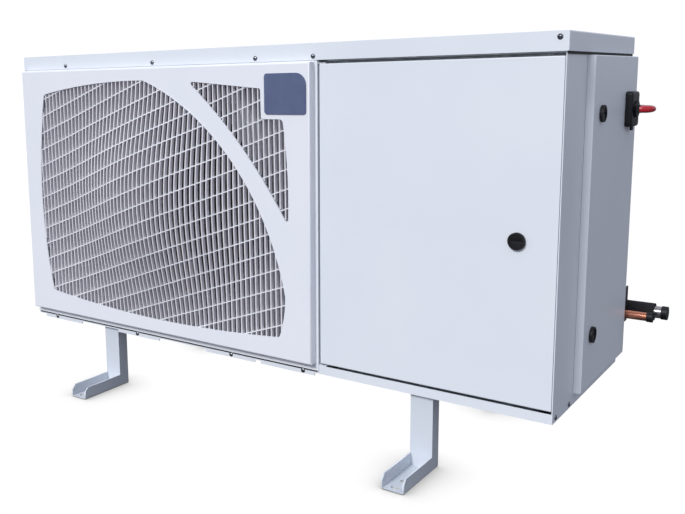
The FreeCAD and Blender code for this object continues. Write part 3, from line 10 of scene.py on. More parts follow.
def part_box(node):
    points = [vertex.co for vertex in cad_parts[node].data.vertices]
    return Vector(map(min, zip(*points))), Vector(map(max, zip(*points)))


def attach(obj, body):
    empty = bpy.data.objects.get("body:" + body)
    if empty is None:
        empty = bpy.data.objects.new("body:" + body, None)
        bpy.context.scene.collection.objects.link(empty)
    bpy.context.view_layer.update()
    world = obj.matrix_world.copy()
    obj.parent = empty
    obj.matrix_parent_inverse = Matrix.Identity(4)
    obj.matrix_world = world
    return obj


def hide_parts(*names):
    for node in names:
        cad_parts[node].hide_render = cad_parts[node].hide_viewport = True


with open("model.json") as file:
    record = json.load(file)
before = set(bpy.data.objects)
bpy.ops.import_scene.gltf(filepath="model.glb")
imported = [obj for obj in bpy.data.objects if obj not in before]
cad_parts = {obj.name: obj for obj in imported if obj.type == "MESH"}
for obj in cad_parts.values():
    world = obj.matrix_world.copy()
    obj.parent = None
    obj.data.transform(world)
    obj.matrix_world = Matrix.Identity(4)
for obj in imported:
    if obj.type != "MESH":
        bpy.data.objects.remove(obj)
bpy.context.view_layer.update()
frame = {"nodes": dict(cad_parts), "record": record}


# Folded sheet steel cabinet: lid, base pan, walls, posts, door and side cover. The sheet is
# 1.2 to 1.5 mm thick, folded, welded and then powder coated in a cool white, so every outer
# fold is rounded and the coat has a fine orange peel.

def linear(hex_colour):
    """Turns an sRGB hex colour into the linear colour that a shader takes."""
    parts = [int(hex_colour[start:start + 2], 16) / 255 for start in (1, 3, 5)]
    return [c / 12.92 if c <= 0.04045 else ((c + 0.055) / 1.055) ** 2.4 for c in parts] + [1.0]


def add_node(tree, kind, settings=(), inputs=()):
    """Adds a node, sets its settings, and fills its inputs with values or with other nodes' outputs."""
    made = tree.nodes.new(kind)
    for name, setting in dict(settings).items():
        setattr(made, name, setting)
    for name, given in dict(inputs).items():
        if isinstance(given, bpy.types.NodeSocket):
            tree.links.new(given, made.inputs[name])
        else:
            made.inputs[name].default_value = given
    return made


def new_finish(name, roughness, metallic=0.0, ior=1.5):
    """Starts a material for one real finish and gives its node tree and shader."""
    material = bpy.data.materials.new(name)
    material.use_nodes = True
    tree = material.node_tree
    shader = tree.nodes["Principled BSDF"]
    shader.inputs["Roughness"].default_value = roughness
    shader.inputs["Metallic"].default_value = metallic
    shader.inputs["IOR"].default_value = ior
    return material, tree, shader


def grain(tree, size_mm, detail, stretch=(1, 1, 1)):
    """Noise on the piece's own coordinates whose spots are about size_mm across."""
    place = add_node(tree, "ShaderNodeTexCoord")
    scale = add_node(tree, "ShaderNodeMapping", inputs={
        "Vector": place.outputs["Object"], "Scale": stretch})
    return add_node(tree, "ShaderNodeTexNoise", inputs={
        "Vector": scale.outputs["Vector"], "Scale": 1000 / size_mm, "Detail": detail})


def mottle(tree, shader, noise, colours):
    """Runs the base colour between two hex colours over the middle of a noise's range."""
    ramp = add_node(tree, "ShaderNodeValToRGB", inputs={"Fac": noise.outputs["Fac"]})
    for stop, position, colour in zip(ramp.color_ramp.elements, (0.35, 0.65), colours):
        stop.position = position
        stop.color = linear(colour)
    tree.links.new(ramp.outputs["Color"], shader.inputs["Base Color"])


def relief(tree, shader, noise, depth_mm, strength):
    """Raises the surface by a share of a noise that is depth_mm high."""
    bump = add_node(tree, "ShaderNodeBump", inputs={
        "Height": noise.outputs["Fac"], "Distance": depth_mm / 1000, "Strength": strength})
    tree.links.new(bump.outputs["Normal"], shader.inputs["Normal"])


# Polyester powder coat: a dielectric film with a soft sheen and a fine orange peel, drawn at
# 2.5 mm because the real half millimetre is too fine to show.
powder_coat, tree, shader = new_finish("white_polyester_powder_coat", 0.38)
mottle(tree, shader, grain(tree, 180, 3), ("#DDE2E9", "#E0E5EB"))
relief(tree, shader, grain(tree, 2.5, 1), 0.05, 0.35)

behaviour = frame["record"]["behaviour"]
node_body = {node: body for body, nodes in behaviour["bodies"].items() for node in nodes}
MERGED, ON_SIDE, FLAT_DEG, BEND_SEGMENTS = 2e-6, 5e-5, 0.4, 3


def places_of(mesh):
    """The places of a mesh's vertices, one in each row."""
    places = np.empty(len(mesh.vertices) * 3)
    mesh.vertices.foreach_get("co", places)
    return places.reshape(-1, 3)


def dress(node, material, radius_mm=0, sides="", smooth_deg=35):
    """A merged copy of a CAD node with rounded folds, in place of the node.

    An edge is a fold when it lies on two of the named sides of the node's box, such as x- or z+.
    """
    mesh = frame["nodes"][node].data.copy()
    shape = bmesh.new()
    shape.from_mesh(mesh)
    bmesh.ops.remove_doubles(shape, verts=shape.verts, dist=MERGED)
    bmesh.ops.dissolve_limit(shape, angle_limit=math.radians(FLAT_DEG), verts=shape.verts,
                             edges=shape.edges)
    shape.to_mesh(mesh)
    shape.free()
    mesh.materials.clear()
    mesh.materials.append(material)
    mesh.shade_smooth()
    mesh.set_sharp_from_angle(angle=math.radians(smooth_deg))
    piece = bpy.data.objects.new(node + "_finished", mesh)
    bpy.context.scene.collection.objects.link(piece)
    if radius_mm:
        places = places_of(mesh)
        low, high = places.min(axis=0), places.max(axis=0)
        touch = np.zeros(len(places), dtype=int)
        for bit, side in enumerate(sides.split()):
            axis = "xyz".index(side[0])
            edge_of_box = low[axis] if side[1] == "-" else high[axis]
            touch |= (np.abs(places[:, axis] - edge_of_box) < ON_SIDE).astype(int) << bit
        ends = np.empty(len(mesh.edges) * 2, dtype=int)
        mesh.edges.foreach_get("vertices", ends)
        ends = ends.reshape(-1, 2)
        shared = touch[ends[:, 0]] & touch[ends[:, 1]]
        fold = (shared & (shared - 1)) != 0
        weight = mesh.attributes.new("bevel_weight_edge", "FLOAT", "EDGE")
        weight.data.foreach_set("value", fold.astype(np.float32))
        bevel = piece.modifiers.new("fold_radius", "BEVEL")
        bevel.limit_method = "WEIGHT"
        bevel.width = radius_mm / 1000
        bevel.segments = BEND_SEGMENTS
        bevel.harden_normals = False
    flats = piece.modifiers.new("flat_faces", "WEIGHTED_NORMAL")
    flats.keep_sharp = True
    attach(piece, node_body[node])
    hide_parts(node)


dress("lid", powder_coat, 2.2, "x- x+ y- y+ z+")
dress("base_pan", powder_coat)
dress("left_panel", powder_coat, 1.2, "x- y-")
dress("right_panel", powder_coat)
dress("rear_panel", powder_coat)
dress("centre_post", powder_coat, 1.2, "y- x-")
dress("door", powder_coat, 2.0, "x- x+ y- z- z+")
dress("side_cover", powder_coat, 1.4, "x+ y+ z- z+")
dress("hinge_brackets", powder_coat)


# Feet: four folded channels of 2.5 mm steel, bolted up under the base pan. Their powder coat is
# a little duller than the cabinet's, and painted a little greyer as painted shade for their place under
# the cabinet.
foot_coat_painted_shade, tree, shader = new_finish("grey_white_powder_coat_painted_shade", 0.42)
mottle(tree, shader, grain(tree, 180, 3), ("#CDD3DB", "#D1D7DF"))
relief(tree, shader, grain(tree, 2.5, 1), 0.05, 0.35)
for foot in ("leg_front_left", "leg_front_right", "leg_rear_left", "leg_rear_right"):
    dress(foot, foot_coat_painted_shade, 2.4, "x- x+ y- y+ z-")


# Fan panel and its comb of fins: moulded in weatherproof ASA in the colour of the coat. The
# mould's fine texture makes it a little duller than the coated sheet.
moulded_asa, tree, shader = new_finish("moulded_asa_white", 0.46)
mottle(tree, shader, grain(tree, 220, 3), ("#E3E6ED", "#E6E8EE"))
relief(tree, shader, grain(tree, 1.6, 1), 0.03, 0.3)
dress("fan_panel", moulded_asa, smooth_deg=28)

# The fins' tone varies at random with weather. Their flanks, which face sideways, are painted
# lighter than their front edges: painted light, for how light falls and bounces between the fins.
fin_asa_painted_light, tree, shader = new_finish("moulded_asa_fins_painted_light", 0.6)
weather = grain(tree, 60, 3)
flank = add_node(tree, "ShaderNodeMix", {"data_type": "RGBA"}, {
    "Factor": weather.outputs["Fac"], "A": linear("#F3F1F6"), "B": linear("#FAF8FC")})
front = add_node(tree, "ShaderNodeMix", {"data_type": "RGBA"}, {
    "Factor": weather.outputs["Fac"], "A": linear("#DBD7DC"), "B": linear("#E5E1E5")})
# Painted light: the more a face turns sideways, along X, the more it takes the lighter flank tone.
painted_light_facing = add_node(tree, "ShaderNodeSeparateXYZ", inputs={
    "Vector": add_node(tree, "ShaderNodeTexCoord").outputs["Normal"]})
sideways = add_node(tree, "ShaderNodeMath", {"operation": "ABSOLUTE"}, {0: painted_light_facing.outputs["X"]})
tone = add_node(tree, "ShaderNodeMix", {"data_type": "RGBA"}, {"Factor": sideways.outputs[0]})
tree.links.new(front.outputs["Result"], tone.inputs["A"])
tree.links.new(flank.outputs["Result"], tone.inputs["B"])
tree.links.new(tone.outputs["Result"], shader.inputs["Base Color"])
relief(tree, shader, grain(tree, 1.6, 1), 0.03, 0.3)


TOUCHING, CREASE_DEG = 1e-6, 40


def mesh_piece(name, places, faces, material, body, slot, replaced=(), smooth=False):
    """Makes a mesh from arrays of places and faces, and lets it ride on a body."""
    mesh = bpy.data.meshes.new(name)
    mesh.from_pydata(places.tolist(), [], faces.tolist())
    shape = bmesh.new()
    shape.from_mesh(mesh)
    bmesh.ops.remove_doubles(shape, verts=shape.verts, dist=TOUCHING)
    shape.to_mesh(mesh)
    shape.free()
    mesh.materials.append(material)
    if smooth:
        mesh.shade_smooth()
        mesh.set_sharp_from_angle(angle=math.radians(CREASE_DEG))
    piece = bpy.data.objects.new(name, mesh)
    bpy.context.scene.collection.objects.link(piece)
    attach(piece, body)
    if replaced:
        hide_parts(*replaced)


def joined(shapes):
    """Puts several meshes' places and faces into one pair of arrays."""
    starts = np.cumsum([0] + [len(places) for places, _ in shapes[:-1]])
    return (np.concatenate([places for places, _ in shapes]),
            np.concatenate([faces + start for start, (_, faces) in zip(starts, shapes)]))


# The comb of the grille: upright fins that cross the ribs and stand flush with them, and a web
# behind each rib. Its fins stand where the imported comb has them, and all depths are measured
# back from the skin of the dome.
DOME_RADIUS, DOME_STRAIGHT, DOME_SLOPE, PANEL_RISE = 0.285, 0.070, math.radians(11.7), 0.018
FIN_PITCH, FIN_COUNT, FIN_WIDTH, FIN_SPOTS = 0.01155, 30, 0.0024, 28
FIN_FRONT, FIN_ROOT, FIN_BACK, FIN_LAP, SHORTEST_FIN = 0.00185, 0.0055, 0.0095, 1e-4, 2e-3
RIB_SLOPE, RIB_PITCH, RIB_COUNT, RIB_OFFSET = math.tan(math.radians(19.6)), 0.0355, 22, 0.0015
WEB_WIDTH, WEB_FRONT, WEB_BACK, WEB_STEP = 0.0018, 0.0043, 0.0085, 0.003
MOUTH_MARGIN, SIDE_MOUTH = 0.0033, 0.2
PACKED_FIN, ON_FLANK, BETWEEN_MOUTHS = 0.0016, 3e-5, 1e-3
fan_axis = next(joint["pos_m"] for joint in behaviour["joints"] if joint["name"] == "fan_spin")
panel_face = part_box("door")[0][1] - PANEL_RISE


def dome_skin(x, z):
    """Depth of the dome's skin at a place on the front.

    Around the fan's axis it is an arc, then a straight slope, then an arc the other way that
    runs out into the flat panel.
    """
    curve = (DOME_RADIUS - DOME_STRAIGHT) / 2
    arc = curve / math.sin(DOME_SLOPE)
    drop = arc * (1 - math.cos(DOME_SLOPE))
    rise = 2 * drop + DOME_STRAIGHT * math.tan(DOME_SLOPE)
    reach = np.hypot(x - fan_axis[0], z - fan_axis[2])
    crown = arc - rise - np.sqrt(arc ** 2 - np.clip(reach, 0, curve) ** 2)
    slope = np.clip(reach - curve, 0, DOME_STRAIGHT) * math.tan(DOME_SLOPE)
    edge = np.sqrt(arc ** 2 - np.clip(DOME_RADIUS - reach, 0, curve) ** 2) - arc
    return panel_face + np.where(reach < curve + DOME_STRAIGHT, crown + slope, edge)


def ring_faces(rings, count, turned=False):
    """Faces between closed rings of as many places each, which follow one another."""
    here = np.arange(rings - 1)[:, None] * count + np.arange(count)[None]
    after = np.roll(here, -1, axis=1)
    faces = np.stack([here, after, after + count, here + count], axis=-1).reshape(-1, 4)
    return faces[:, [0, 3, 2, 1]] if turned else faces


def bar(rings):
    """A closed bar through rings of four corners, each ring turned the same way."""
    ends = np.array([[0, 3, 2, 1], [0, 1, 2, 3]])
    ends[1] += 4 * (len(rings) - 1)
    return rings.reshape(-1, 3), np.concatenate([ring_faces(len(rings), 4), ends])


def fin(along, low, high, front, back):
    """An upright plate between two heights whose front and back follow the dome's skin."""
    up = np.linspace(low, high, FIN_SPOTS)
    skin = dome_skin(along, up)
    left, right = along - FIN_WIDTH / 2, along + FIN_WIDTH / 2
    corners = ((left, front), (right, front), (right, back), (left, back))
    return bar(np.stack([np.column_stack([np.full(FIN_SPOTS, x), skin + depth, up])
                         for x, depth in corners], axis=1))


def web(along, up):
    """A sloping plate behind a rib, through places along the rib's line."""
    skin = dome_skin(along, up)
    thick = WEB_WIDTH / 2 * math.hypot(1, RIB_SLOPE)
    corners = ((WEB_FRONT, -thick), (WEB_BACK, -thick), (WEB_BACK, thick), (WEB_FRONT, thick))
    return bar(np.stack([np.column_stack([along, skin + depth, up + rise])
                         for depth, rise in corners], axis=1))


def packed_spans():
    """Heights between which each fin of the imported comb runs, for the main and the side mouth.

    The triangles of a fin's left flank give its heights, and a gap in them parts the mouths.
    """
    comb = frame["nodes"]["fan_grille"].data
    comb.calc_loop_triangles()
    corners = np.empty(len(comb.loop_triangles) * 3, dtype=int)
    comb.loop_triangles.foreach_get("vertices", corners)
    corners = places_of(comb)[corners].reshape(-1, 3, 3)
    main, side = [], []
    for step in range(-FIN_COUNT, FIN_COUNT + 1):
        along = fan_axis[0] + step * FIN_PITCH
        flank = (np.abs(corners[:, :, 0] - along + PACKED_FIN / 2) < ON_FLANK).all(axis=1)
        if not flank.any():
            continue
        heights = corners[flank][:, :, 2]
        heights = heights[np.argsort(heights.min(axis=1))]
        reached = np.maximum.accumulate(heights.max(axis=1))
        cuts = np.flatnonzero(heights.min(axis=1)[1:] > reached[:-1] + BETWEEN_MOUTHS) + 1
        spans = [(part.min(), part.max()) for part in np.split(heights, cuts)]
        if len(spans) > 1 or step * FIN_PITCH < SIDE_MOUTH:
            main.append((along, *spans[0]))
        if len(spans) > 1 or step * FIN_PITCH >= SIDE_MOUTH:
            side.append((along, *spans[-1]))
    return np.array(main), np.array(side)


shapes = []
for rows in packed_spans():
    spot, low, high = rows.T
    margins = []
    for edge in (low, high):
        lean = np.abs(np.diff(edge)) / np.diff(spot)
        lean = np.minimum(np.append(lean, lean[-1]), np.append(lean[0], lean))
        margins.append(MOUTH_MARGIN * np.sqrt(1 + lean ** 2))
    for along, foot, head, below, above in zip(spot, low, high, *margins):
        shapes.append(fin(along, foot, head, FIN_ROOT - FIN_LAP, FIN_BACK))
        if head - above > foot + below + SHORTEST_FIN:
            shapes.append(fin(along, foot + below, head - above, FIN_FRONT, FIN_ROOT))
    along = np.arange(spot[0], spot[-1], WEB_STEP)
    foot, head = np.interp(along, spot, low), np.interp(along, spot, high)
    for step in range(-RIB_COUNT, RIB_COUNT + 1):
        up = fan_axis[2] + step * RIB_PITCH - RIB_OFFSET + RIB_SLOPE * (along - fan_axis[0])
        inside = (up > foot) & (up < head)
        runs = np.split(np.arange(len(along)), np.flatnonzero(np.diff(inside.astype(int))) + 1)
        shapes += [web(along[run], up[run]) for run in runs if inside[run[0]] and len(run) > 2]
mesh_piece("grille_comb", *joined(shapes), fin_asa_painted_light, "cabinet", "moulded_panel", ("fan_grille",))


# Badge plate: a plain moulded plate of grey blue plastic, pressed on at the top right of the fan
# panel, with one large round corner and a soft edge.
badge_plastic, tree, shader = new_finish("grey_blue_abs", 0.32)
mottle(tree, shader, grain(tree, 30, 2), ("#545E7E", "#596484"))
relief(tree, shader, grain(tree, 1.2, 1), 0.02, 0.2)
dress("badge_plate", badge_plastic, smooth_deg=25)


# Quarter turn latches and the rotary switch: glass filled polyamide, moulded black with a faint
# satin skin. The switch's grip is a glossy dark red.
black_polyamide, tree, shader = new_finish("black_polyamide", 0.5, ior=1.42)
mottle(tree, shader, grain(tree, 12, 2), ("#0C0C11", "#131318"))
relief(tree, shader, grain(tree, 0.9, 1), 0.02, 0.3)
for latch in ("door_latch", "cover_latch_upper", "cover_latch_lower"):
    dress(latch, black_polyamide, smooth_deg=30)
dress("isolator_block", black_polyamide)
dress("isolator_collar", black_polyamide, smooth_deg=30)
dress("pressure_switch", black_polyamide)

red_grip, tree, shader = new_finish("red_moulded_grip", 0.24)
mottle(tree, shader, grain(tree, 15, 2), ("#A81A26", "#B4202E"))
relief(tree, shader, grain(tree, 3, 1), 0.01, 0.2)


PLATE_CORNER, PLATE_RIM, ROUND_SPOTS = 0.006, 0.004, 8
TAB_SHEET, TAB_WIDTH, TAB_DROP = 0.0035, 0.011, 0.0065


def soft_plate(low, high):
    """A plate that faces along X, with round corners and a round rim towards the front.

    Each ring is an oblong with quarter circles at its corners. The rim draws the rings in as a
    quarter circle does, and the first and last ring close in the middle.
    """
    arc = np.linspace(0, np.pi / 2, ROUND_SPOTS)
    turn = np.concatenate([arc + quarter * np.pi / 2 for quarter in range(4)])
    side = np.repeat([[1, 1], [-1, 1], [-1, -1], [1, -1]], len(arc), axis=0)
    middle, half = (low + high) / 2, (high - low) / 2
    hub = middle[1:] + side * (half[1:] - PLATE_CORNER)
    outward = np.column_stack([np.cos(turn), np.sin(turn)])
    pole = np.broadcast_to(middle[1:], hub.shape)
    depths = [low[0], low[0], *(high[0] - PLATE_RIM + PLATE_RIM * np.sin(arc)), high[0]]
    insets = [0, *(PLATE_RIM - PLATE_RIM * np.cos(arc))]
    outlines = [pole, *(hub + (PLATE_CORNER - inset) * outward for inset in insets), pole]
    rings = [np.column_stack([np.full(len(turn), depth), outline])
             for depth, outline in zip(depths, outlines)]
    return np.concatenate(rings), ring_faces(len(rings), len(turn))


def block(low, high):
    """A box between two opposite corners."""
    (left, front, foot), (right, back, head) = low, high
    return bar(np.array([[[left, front, up], [right, front, up], [right, back, up], [left, back, up]]
                         for up in (foot, head)]))


# The padlock tab hangs below the plate, level with the start of its rim.
plate_low, plate_high = (np.array(corner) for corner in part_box("isolator_base"))
tab_x, tab_y = plate_high[0] - PLATE_RIM, (plate_low[1] + plate_high[1]) / 2
tab = block((tab_x - TAB_SHEET, tab_y - TAB_WIDTH / 2, plate_low[2] - TAB_DROP),
            (tab_x, tab_y + TAB_WIDTH / 2, plate_low[2] + TAB_DROP))
mesh_piece("isolator_plate", *joined([soft_plate(plate_low, plate_high), tab]), black_polyamide,
           "side_cover", "black_plastic", ("isolator_base",), smooth=True)

GRIP_RINGS, GRIP_ROUND, OBLONG = 15, 40, 3.2


def rounded_grip(low, high):
    """A grip that stands out along X between two corners.

    Each section is the rounded oblong |y/a|^3.2 + |z/b|^3.2 = 1. Along the grip its half length
    a falls as the root of 1 - s^2, and its half thickness b as the root of 1 - s^4.
    """
    s, angle = np.meshgrid(np.sin(np.linspace(0, np.pi / 2, GRIP_RINGS)),
                           np.linspace(0, 2 * np.pi, GRIP_ROUND, endpoint=False), indexing="ij")
    middle, half = (low + high) / 2, (high - low) / 2
    length = half[1] * np.sqrt(np.clip(1 - s ** 2, 0, 1))
    thickness = half[2] * np.sqrt(np.clip(1 - s ** 4, 0, 1))
    sideways = np.sign(np.cos(angle)) * np.abs(np.cos(angle)) ** (2 / OBLONG)
    upwards = np.sign(np.sin(angle)) * np.abs(np.sin(angle)) ** (2 / OBLONG)
    places = np.stack([low[0] + s * (high[0] - low[0]), middle[1] + length * sideways,
                       middle[2] + thickness * upwards], axis=-1)
    return places.reshape(-1, 3), ring_faces(GRIP_RINGS, GRIP_ROUND)


grip_low, grip_high = (np.array(corner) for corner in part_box("isolator_lever"))
mesh_piece("isolator_grip", *rounded_grip(grip_low, grip_high), red_grip, "isolator_knob",
           "red_plastic", ("isolator_lever",), smooth=True)


# Refrigerant lines: drawn copper tube, dulled by handling, with black foam insulation on the
# larger line and black plastic caps on the open ends until the unit is installed.
COPPER_TONES, TIN_TONES, TIN_FROM, TIN_TO = ("#D58668", "#E29C80"), ("#8C8583", "#D2CFD0"), 0.640, 0.642
drawn_copper, tree, shader = new_finish("drawn_copper", 0.22, 1.0)
mottle(tree, shader, grain(tree, 14, 3, (0.3, 1, 1)), COPPER_TONES)
relief(tree, shader, grain(tree, 2, 2, (0.2, 1, 1)), 0.02, 0.3)
for pipe in ("liquid_pipe", "discharge_pipe", "condensate_pipe"):
    dress(pipe, drawn_copper, smooth_deg=40)

# The suction line's open end is tinned for brazing: grey from where the foam ends.
tinned_copper, tree, shader = new_finish("copper_with_tinned_end", 0.24, 1.0)
streaks = grain(tree, 7, 3, (0.4, 1, 1))
copper_tone = add_node(tree, "ShaderNodeMix", {"data_type": "RGBA"}, {
    "Factor": streaks.outputs["Fac"], "A": linear(COPPER_TONES[0]), "B": linear(COPPER_TONES[1])})
tin_tone = add_node(tree, "ShaderNodeMix", {"data_type": "RGBA"}, {
    "Factor": streaks.outputs["Fac"], "A": linear(TIN_TONES[0]), "B": linear(TIN_TONES[1])})
where = add_node(tree, "ShaderNodeSeparateXYZ", inputs={
    "Vector": add_node(tree, "ShaderNodeTexCoord").outputs["Object"]})
tinned = add_node(tree, "ShaderNodeMapRange", inputs={
    "Value": where.outputs["X"], "From Min": TIN_FROM, "From Max": TIN_TO})
tone = add_node(tree, "ShaderNodeMix", {"data_type": "RGBA"}, {"Factor": tinned.outputs["Result"]})
tree.links.new(copper_tone.outputs["Result"], tone.inputs["A"])
tree.links.new(tin_tone.outputs["Result"], tone.inputs["B"])
tree.links.new(tone.outputs["Result"], shader.inputs["Base Color"])
relief(tree, shader, streaks, 0.03, 0.3)
dress("suction_pipe", tinned_copper, smooth_deg=40)

# The foam has a coarse open skin, and the caps are moulded in the latches' black.
foam, tree, shader = new_finish("elastomeric_foam", 0.85)
mottle(tree, shader, grain(tree, 5, 3), ("#131214", "#1D1B1E"))
relief(tree, shader, grain(tree, 1.5, 3), 0.25, 0.6)
dress("suction_sleeve", foam, smooth_deg=40)
dress("pipe_caps", black_polyamide, smooth_deg=40)


# Rubber pieces: EPDM grommets where pipes pass a wall, the seal on the door and the feet under
# the compressor. Two dark strips of it are painted shade, put where shadow lines fall: under the
# rim of the fan panel and in the gap between the right wall and the side of the lid.
epdm, tree, shader = new_finish("epdm_rubber", 0.7)
mottle(tree, shader, grain(tree, 6, 2), ("#141416", "#1B1B1D"))
relief(tree, shader, grain(tree, 1, 2), 0.04, 0.4)
for seal in ("rear_grommets", "partition_grommets", "door_seal", "compressor_mounts"):
    dress(seal, epdm, smooth_deg=40)

# Painted shade: two dark rubber strips laid in the shaded gaps under the rim and under the lid.
RIM_SHADE_STRIP, RIM_PROUD = 0.0030, 0.0010
LID_SHADE_STRIP, LID_SHEET, LID_PLAY = 0.0040, 0.0015, 0.0002
rim_low, rim_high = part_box("fan_panel")
pan_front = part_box("base_pan")[0][1]
rim_shade_strip = block((rim_low[0] + RIM_SHADE_STRIP, pan_front - RIM_PROUD, rim_low[2] - RIM_SHADE_STRIP),
                  (rim_high[0] - RIM_SHADE_STRIP, pan_front, rim_low[2]))
lid_low, lid_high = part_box("lid")
wall_low, wall_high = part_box("right_panel")
lid_shade_strip = block((wall_high[0], wall_low[1], lid_low[2] - LID_SHADE_STRIP),
                  (lid_high[0] - LID_SHEET - LID_PLAY, wall_high[1], lid_low[2] + LID_SHADE_STRIP))
mesh_piece("shade_strips", *joined([rim_shade_strip, lid_shade_strip]), epdm, "cabinet", "black_rubber")


# Enamelled steel: the drawn shells of the compressor, the receiver and the drier, the wire guard
# and the pipe bracket. The enamel is thick and glossy, with a slight wave.
black_enamel, tree, shader = new_finish("black_enamelled_steel", 0.42)
mottle(tree, shader, grain(tree, 40, 3), ("#121214", "#1A1A1D"))
relief(tree, shader, grain(tree, 2.5, 2), 0.06, 0.5)
dress("pipe_bracket", black_enamel)
dress("coil_guard", black_enamel, smooth_deg=60)
dress("compressor", black_enamel, smooth_deg=40)
dress("liquid_receiver", black_enamel, smooth_deg=40)

blue_enamel, tree, shader = new_finish("blue_enamelled_steel", 0.4)
mottle(tree, shader, grain(tree, 30, 3), ("#27466B", "#2C4F78"))
relief(tree, shader, grain(tree, 2.5, 2), 0.05, 0.4)
dress("filter_drier", blue_enamel, smooth_deg=25)


# Bare inner sheets: hot dip galvanised steel with a faint spangle, about a centimetre across,
# that shows as patches of slightly different sheen.
SPANGLES_PER_METRE = 90
galvanised, tree, shader = new_finish("galvanised_sheet", 0.42, 1.0)
place = add_node(tree, "ShaderNodeTexCoord")
spangle = add_node(tree, "ShaderNodeTexVoronoi", inputs={
    "Vector": place.outputs["Object"], "Scale": SPANGLES_PER_METRE})
shade = add_node(tree, "ShaderNodeMapRange", inputs={
    "Value": spangle.outputs["Color"], "To Min": 0.34, "To Max": 0.52})
tree.links.new(shade.outputs["Result"], shader.inputs["Roughness"])
mottle(tree, shader, grain(tree, 18, 3), ("#A2A6AB", "#B4B8BC"))
for sheet in ("partition", "door_frame_rails", "front_rails", "motor_bracket", "fan_shroud",
              "compressor_plate", "electric_box", "electric_cover", "electric_shelf"):
    dress(sheet, galvanised)

zinc_plate, tree, shader = new_finish("zinc_plated_steel", 0.34, 1.0)
mottle(tree, shader, grain(tree, 6, 2), ("#8E9196", "#A2A5AA"))
relief(tree, shader, grain(tree, 1, 2), 0.02, 0.3)
for part in ("hinge_pins", "fan_shaft", "compressor_bolts", "leg_bolts"):
    dress(part, zinc_plate, smooth_deg=30)


# Fan: four twisted blades moulded in one with their hub in black polyamide, on a motor with a
# die cast aluminium shell.
dress("fan_blades", black_polyamide, smooth_deg=25)
cast_alloy, tree, shader = new_finish("die_cast_aluminium", 0.5, 1.0)
mottle(tree, shader, grain(tree, 20, 3), ("#9A9CA0", "#A8AAAE"))
relief(tree, shader, grain(tree, 1.8, 3), 0.08, 0.5)
dress("fan_motor", cast_alloy, smooth_deg=30)


# Condenser coil: rolled aluminium fins 2.1 mm apart on copper tubes, between two end plates,
# with the return bends standing out at both ends.
fin_sheet, tree, shader = new_finish("rolled_aluminium_fins", 0.45, 1.0)
mottle(tree, shader, grain(tree, 25, 3, (1, 1, 0.2)), ("#DADDE1", "#E6E8EB"))

LEAF_PITCH, LEAF, LEAF_INSET, LEAF_PLAY = 0.0021, 0.00022, 0.001, 0.002
COIL_END, COIL_FOOT, COIL_HEAD, PLATE_SHEET = 0.0218, 0.0065, 0.007, 0.0015
COIL_ROWS, ROWS_HEIGHT, TUBE_DEPTH, TUBE_RADIUS = 8, 0.575, 0.009, 0.0048
BEND_RADIUS, BEND_SPOTS, TUBE_ROUND = 0.017, 13, 20
coil_low, coil_high = (np.array(corner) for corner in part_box("condenser_coil"))
plate_faces = coil_low[0] + COIL_END, coil_high[0] - COIL_END
leaves = [block((x, coil_low[1] + LEAF_INSET, coil_low[2] + COIL_FOOT),
                (x + LEAF, coil_high[1] - LEAF_INSET, coil_high[2] - COIL_HEAD))
          for x in np.arange(plate_faces[0] + LEAF_PLAY, plate_faces[1] - LEAF_PLAY, LEAF_PITCH)]
mesh_piece("coil_fins", *joined(leaves), fin_sheet, "cabinet", "fin_aluminium",
           ("condenser_coil",))


def tube(points):
    """A round bar swept along a row of points: each ring is square to the way at its point."""
    way = np.gradient(points, axis=0)
    way /= np.linalg.norm(way, axis=1)[:, None]
    side = np.cross(way, [0.0, 1.0, 0.0])
    side /= np.linalg.norm(side, axis=1)[:, None]
    up = np.cross(side, way)
    turn = np.linspace(0, 2 * np.pi, TUBE_ROUND, endpoint=False)
    rings = points[:, None] + TUBE_RADIUS * (np.cos(turn)[None, :, None] * side[:, None]
                                             + np.sin(turn)[None, :, None] * up[:, None])
    return rings.reshape(-1, 3), ring_faces(len(points), TUBE_ROUND, turned=True)


bends, runs = [], []
half_turn = np.linspace(0, np.pi, BEND_SPOTS)
tube_y = coil_low[1] + TUBE_DEPTH
for row in range(COIL_ROWS):
    middle = coil_low[2] + COIL_FOOT + ROWS_HEIGHT / COIL_ROWS * (row + 0.5)
    for up in (middle - BEND_RADIUS, middle + BEND_RADIUS):
        runs.append(tube(np.array([[x, tube_y, up] for x in plate_faces])))
    for x, out in zip(plate_faces, (-1, 1)):
        bends.append(tube(np.column_stack([x + out * BEND_RADIUS * np.sin(half_turn),
                                           np.full(BEND_SPOTS, tube_y),
                                           middle - BEND_RADIUS * np.cos(half_turn)])))
mesh_piece("coil_bends", *joined(bends), drawn_copper, "cabinet", "copper", smooth=True)
mesh_piece("coil_tubes", *joined(runs), drawn_copper, "cabinet", "copper", smooth=True)

end_plates = [block((x, coil_low[1], coil_low[2]), (x + PLATE_SHEET, coil_high[1], coil_high[2]))
              for x in (plate_faces[0] - PLATE_SHEET, plate_faces[1])]
mesh_piece("coil_end_plates", *joined(end_plates), galvanised, "cabinet", "galvanised_steel")


# Screws: zinc plated sheet metal screws with domed heads and a cross recess, turned dark by
# weather. Five hold the lid, four the tabs under the fan panel and two the right wall.
weathered_zinc, tree, shader = new_finish("weathered_zinc", 0.3, 1.0)
mottle(tree, shader, grain(tree, 2, 2), ("#66686D", "#94969B"))

HEAD_RADIUS, HEAD_RISE, HEAD_FALL, PACKED_HEAD = 0.0045, 0.0026, 0.75, 0.0025
RECESS, ARM_WIDTH, ARM_LENGTH = 0.0018, 0.0014, 0.0056
HEAD_RINGS, HEAD_ROUND, SCREW_APART, ROUNDED = 13, 48, 0.012, 1e-3


